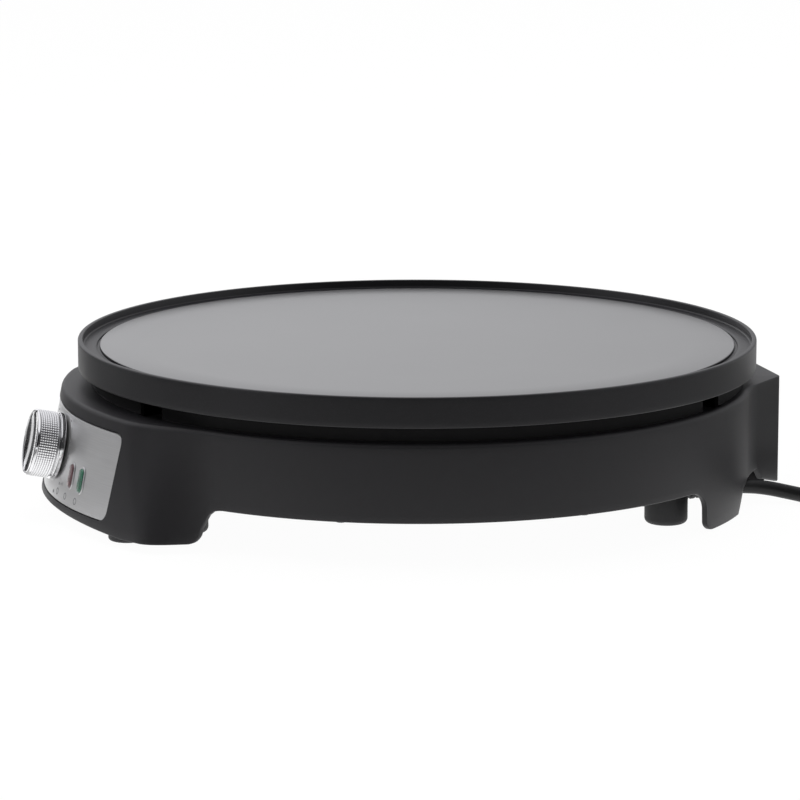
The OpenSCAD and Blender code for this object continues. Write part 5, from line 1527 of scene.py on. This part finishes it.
class CREPE_OT_screws(bpy.types.Operator):
    """Scatters the cover's screws over their holes with Geometry Nodes"""

    bl_idname = "crepe_maker.screws"
    bl_label = "Screws"

    def execute(self, context):
        head = context.scene.crepe_maker_sizes.screw_head
        places = [polar(r, a, WALL_LOW) for r, a in COVER_SCREWS]
        holder = placed("cover_screws_set", meshed("cover_screw_places", places))
        tree = self.tree(finish_of("black_zinc"))
        modifier = holder.modifiers.new("Screws", "NODES")
        modifier.node_group = tree
        for item in tree.interface.items_tree:
            if item.item_type == "SOCKET" and item.in_out == "INPUT" and item.name == "Head Diameter":
                modifier[item.identifier] = head
        plain = plain_mesh(holder)
        plain.name = "cover_screws_set"
        smoothed(plain, 35)
        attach(holder, "base")
        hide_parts("cover_screws")
        return {"FINISHED"}

    def tree(self, material):
        """A pan head with a cross recess and its shank, on each point."""
        tree = bpy.data.node_groups.new("Cover screws", "GeometryNodeTree")
        face = tree.interface
        face.new_socket("Geometry", in_out="INPUT", socket_type="NodeSocketGeometry")
        size = face.new_socket("Head Diameter", in_out="INPUT", socket_type="NodeSocketFloat")
        size.default_value = 5.6 * MM
        face.new_socket("Geometry", in_out="OUTPUT", socket_type="NodeSocketGeometry")
        nodes, links = tree.nodes, tree.links

        def node(kind, settings=None, **inputs):
            made_node = nodes.new(kind)
            for key, value in (settings or {}).items():
                setattr(made_node, key, value)
            for key, value in inputs.items():
                socket = made_node.inputs[key.replace("_", " ")]
                if isinstance(value, bpy.types.NodeSocket):
                    links.new(value, socket)
                else:
                    socket.default_value = value
            return made_node

        def scaled(socket, factor):
            times = node("ShaderNodeMath", dict(operation="MULTIPLY"))
            links.new(socket, times.inputs[0])
            times.inputs[1].default_value = factor
            return times.outputs[0]

        def cone(bottom, top, depth):
            disc = node("GeometryNodeMeshCone", None, Vertices=28, Side_Segments=1, Depth=depth,
                        Radius_Bottom=bottom, Radius_Top=top)
            return disc.outputs["Mesh"]

        def put(shape, z=0.0, rotation=(0, 0, 0)):
            place = node("GeometryNodeTransform", None, Geometry=shape,
                         Translation=(0, 0, z), Rotation=rotation)
            return place.outputs["Geometry"]

        def together(*shapes):
            join = node("GeometryNodeJoinGeometry")
            for shape in shapes:
                links.new(shape, join.inputs[0])
            return join.outputs[0]

        start = node("NodeGroupInput")
        radius = scaled(start.outputs["Head Diameter"], 0.5)
        # Everything points down, because the heads face the table
        down, rim_h, dome_h = (math.pi, 0, 0), 0.6 * MM, 0.4 * MM
        rim = put(cone(radius, scaled(radius, 0.98), rim_h), 0.0, down)
        dome = put(cone(radius, scaled(radius, 0.72), dome_h), -rim_h, down)
        recessed = node("GeometryNodeMeshBoolean", dict(operation="DIFFERENCE"))
        links.new(together(rim, dome), recessed.inputs["Mesh 1"])
        for turn in (0.0, math.pi / 2):
            bar = node("GeometryNodeMeshCube", None, Size=(3.0 * MM, 0.62 * MM, 1.4 * MM))
            links.new(put(bar.outputs["Mesh"], -1.2 * MM, (0, 0, turn)), recessed.inputs["Mesh 2"])
        shank = node("GeometryNodeMeshCylinder", None, Vertices=20, Radius=1.45 * MM, Depth=15.9 * MM)
        screw = together(recessed.outputs["Mesh"], put(shank.outputs["Mesh"], 8.0 * MM))
        # Each screw stopped at a turn of its own when it was tight
        spin = node("FunctionNodeRandomValue", dict(data_type="FLOAT"),
                    ID=node("GeometryNodeInputIndex").outputs[0])
        for socket in spin.inputs:
            if socket.name == "Max" and socket.type == "VALUE" and socket.enabled:
                socket.default_value = 3.0
            if socket.name == "Seed":
                socket.default_value = 7
        turns = node("ShaderNodeCombineXYZ", None, Z=next(out for out in spin.outputs if out.enabled))
        spread = node("GeometryNodeInstanceOnPoints", None, Points=start.outputs["Geometry"],
                      Instance=screw, Rotation=turns.outputs[0])
        real = node("GeometryNodeRealizeInstances", None, Geometry=spread.outputs[0])
        paint = node("GeometryNodeSetMaterial", None, Geometry=real.outputs[0], Material=material)
        node("NodeGroupOutput", None, Geometry=paint.outputs[0])
        return tree


class CREPE_OT_inside(bpy.types.Operator):
    """Gives the solids that show as they are their finishes"""

    bl_idname = "crepe_maker.inside"
    bl_label = "Inside pieces"

    def execute(self, context):
        for node, finish in NODE_FINISHES.items():
            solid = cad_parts[node]
            if not solid.material_slots:
                solid.data.materials.append(None)
            for slot in solid.material_slots:
                slot.material = finish_of(finish)
        return {"FINISHED"}


class CREPE_PT_panel(bpy.types.Panel):
    bl_idname = "CREPE_PT_panel"
    bl_label = "Crepe Maker"
    bl_space_type = "VIEW_3D"
    bl_region_type = "UI"
    bl_category = "Crepe Maker"

    def draw(self, context):
        layout = self.layout
        for group in (context.scene.crepe_maker_sizes, context.scene.crepe_maker_colours):
            box = layout.box()
            for name in group.bl_rna.properties.keys():
                if name not in ("rna_type", "name"):
                    box.prop(group, name)
        for operator in OPERATORS:
            layout.operator(operator.bl_idname)


OPERATORS = (CREPE_OT_stage, CREPE_OT_lead, CREPE_OT_hotplate, CREPE_OT_base, CREPE_OT_panel,
             CREPE_OT_knob, CREPE_OT_lamps, CREPE_OT_feet, CREPE_OT_screws, CREPE_OT_inside)
CLASSES = (CrepeMakerSizes, CrepeMakerColours) + OPERATORS + (CREPE_PT_panel,)


def register():
    for cls in CLASSES:
        bpy.utils.register_class(cls)
    bpy.types.Scene.crepe_maker_sizes = PointerProperty(type=CrepeMakerSizes)
    bpy.types.Scene.crepe_maker_colours = PointerProperty(type=CrepeMakerColours)


def unregister():
    del bpy.types.Scene.crepe_maker_colours
    del bpy.types.Scene.crepe_maker_sizes
    for cls in reversed(CLASSES):
        bpy.utils.unregister_class(cls)


def main():
    register()
    bpy.ops.crepe_maker.stage()
    bpy.ops.crepe_maker.lead()
    bpy.ops.crepe_maker.hotplate()
    bpy.ops.crepe_maker.base()
    bpy.ops.crepe_maker.panel()
    bpy.ops.crepe_maker.knob()
    bpy.ops.crepe_maker.lamps()
    bpy.ops.crepe_maker.feet()
    bpy.ops.crepe_maker.screws()
    bpy.ops.crepe_maker.inside()


if __name__ == "__main__":
    main()
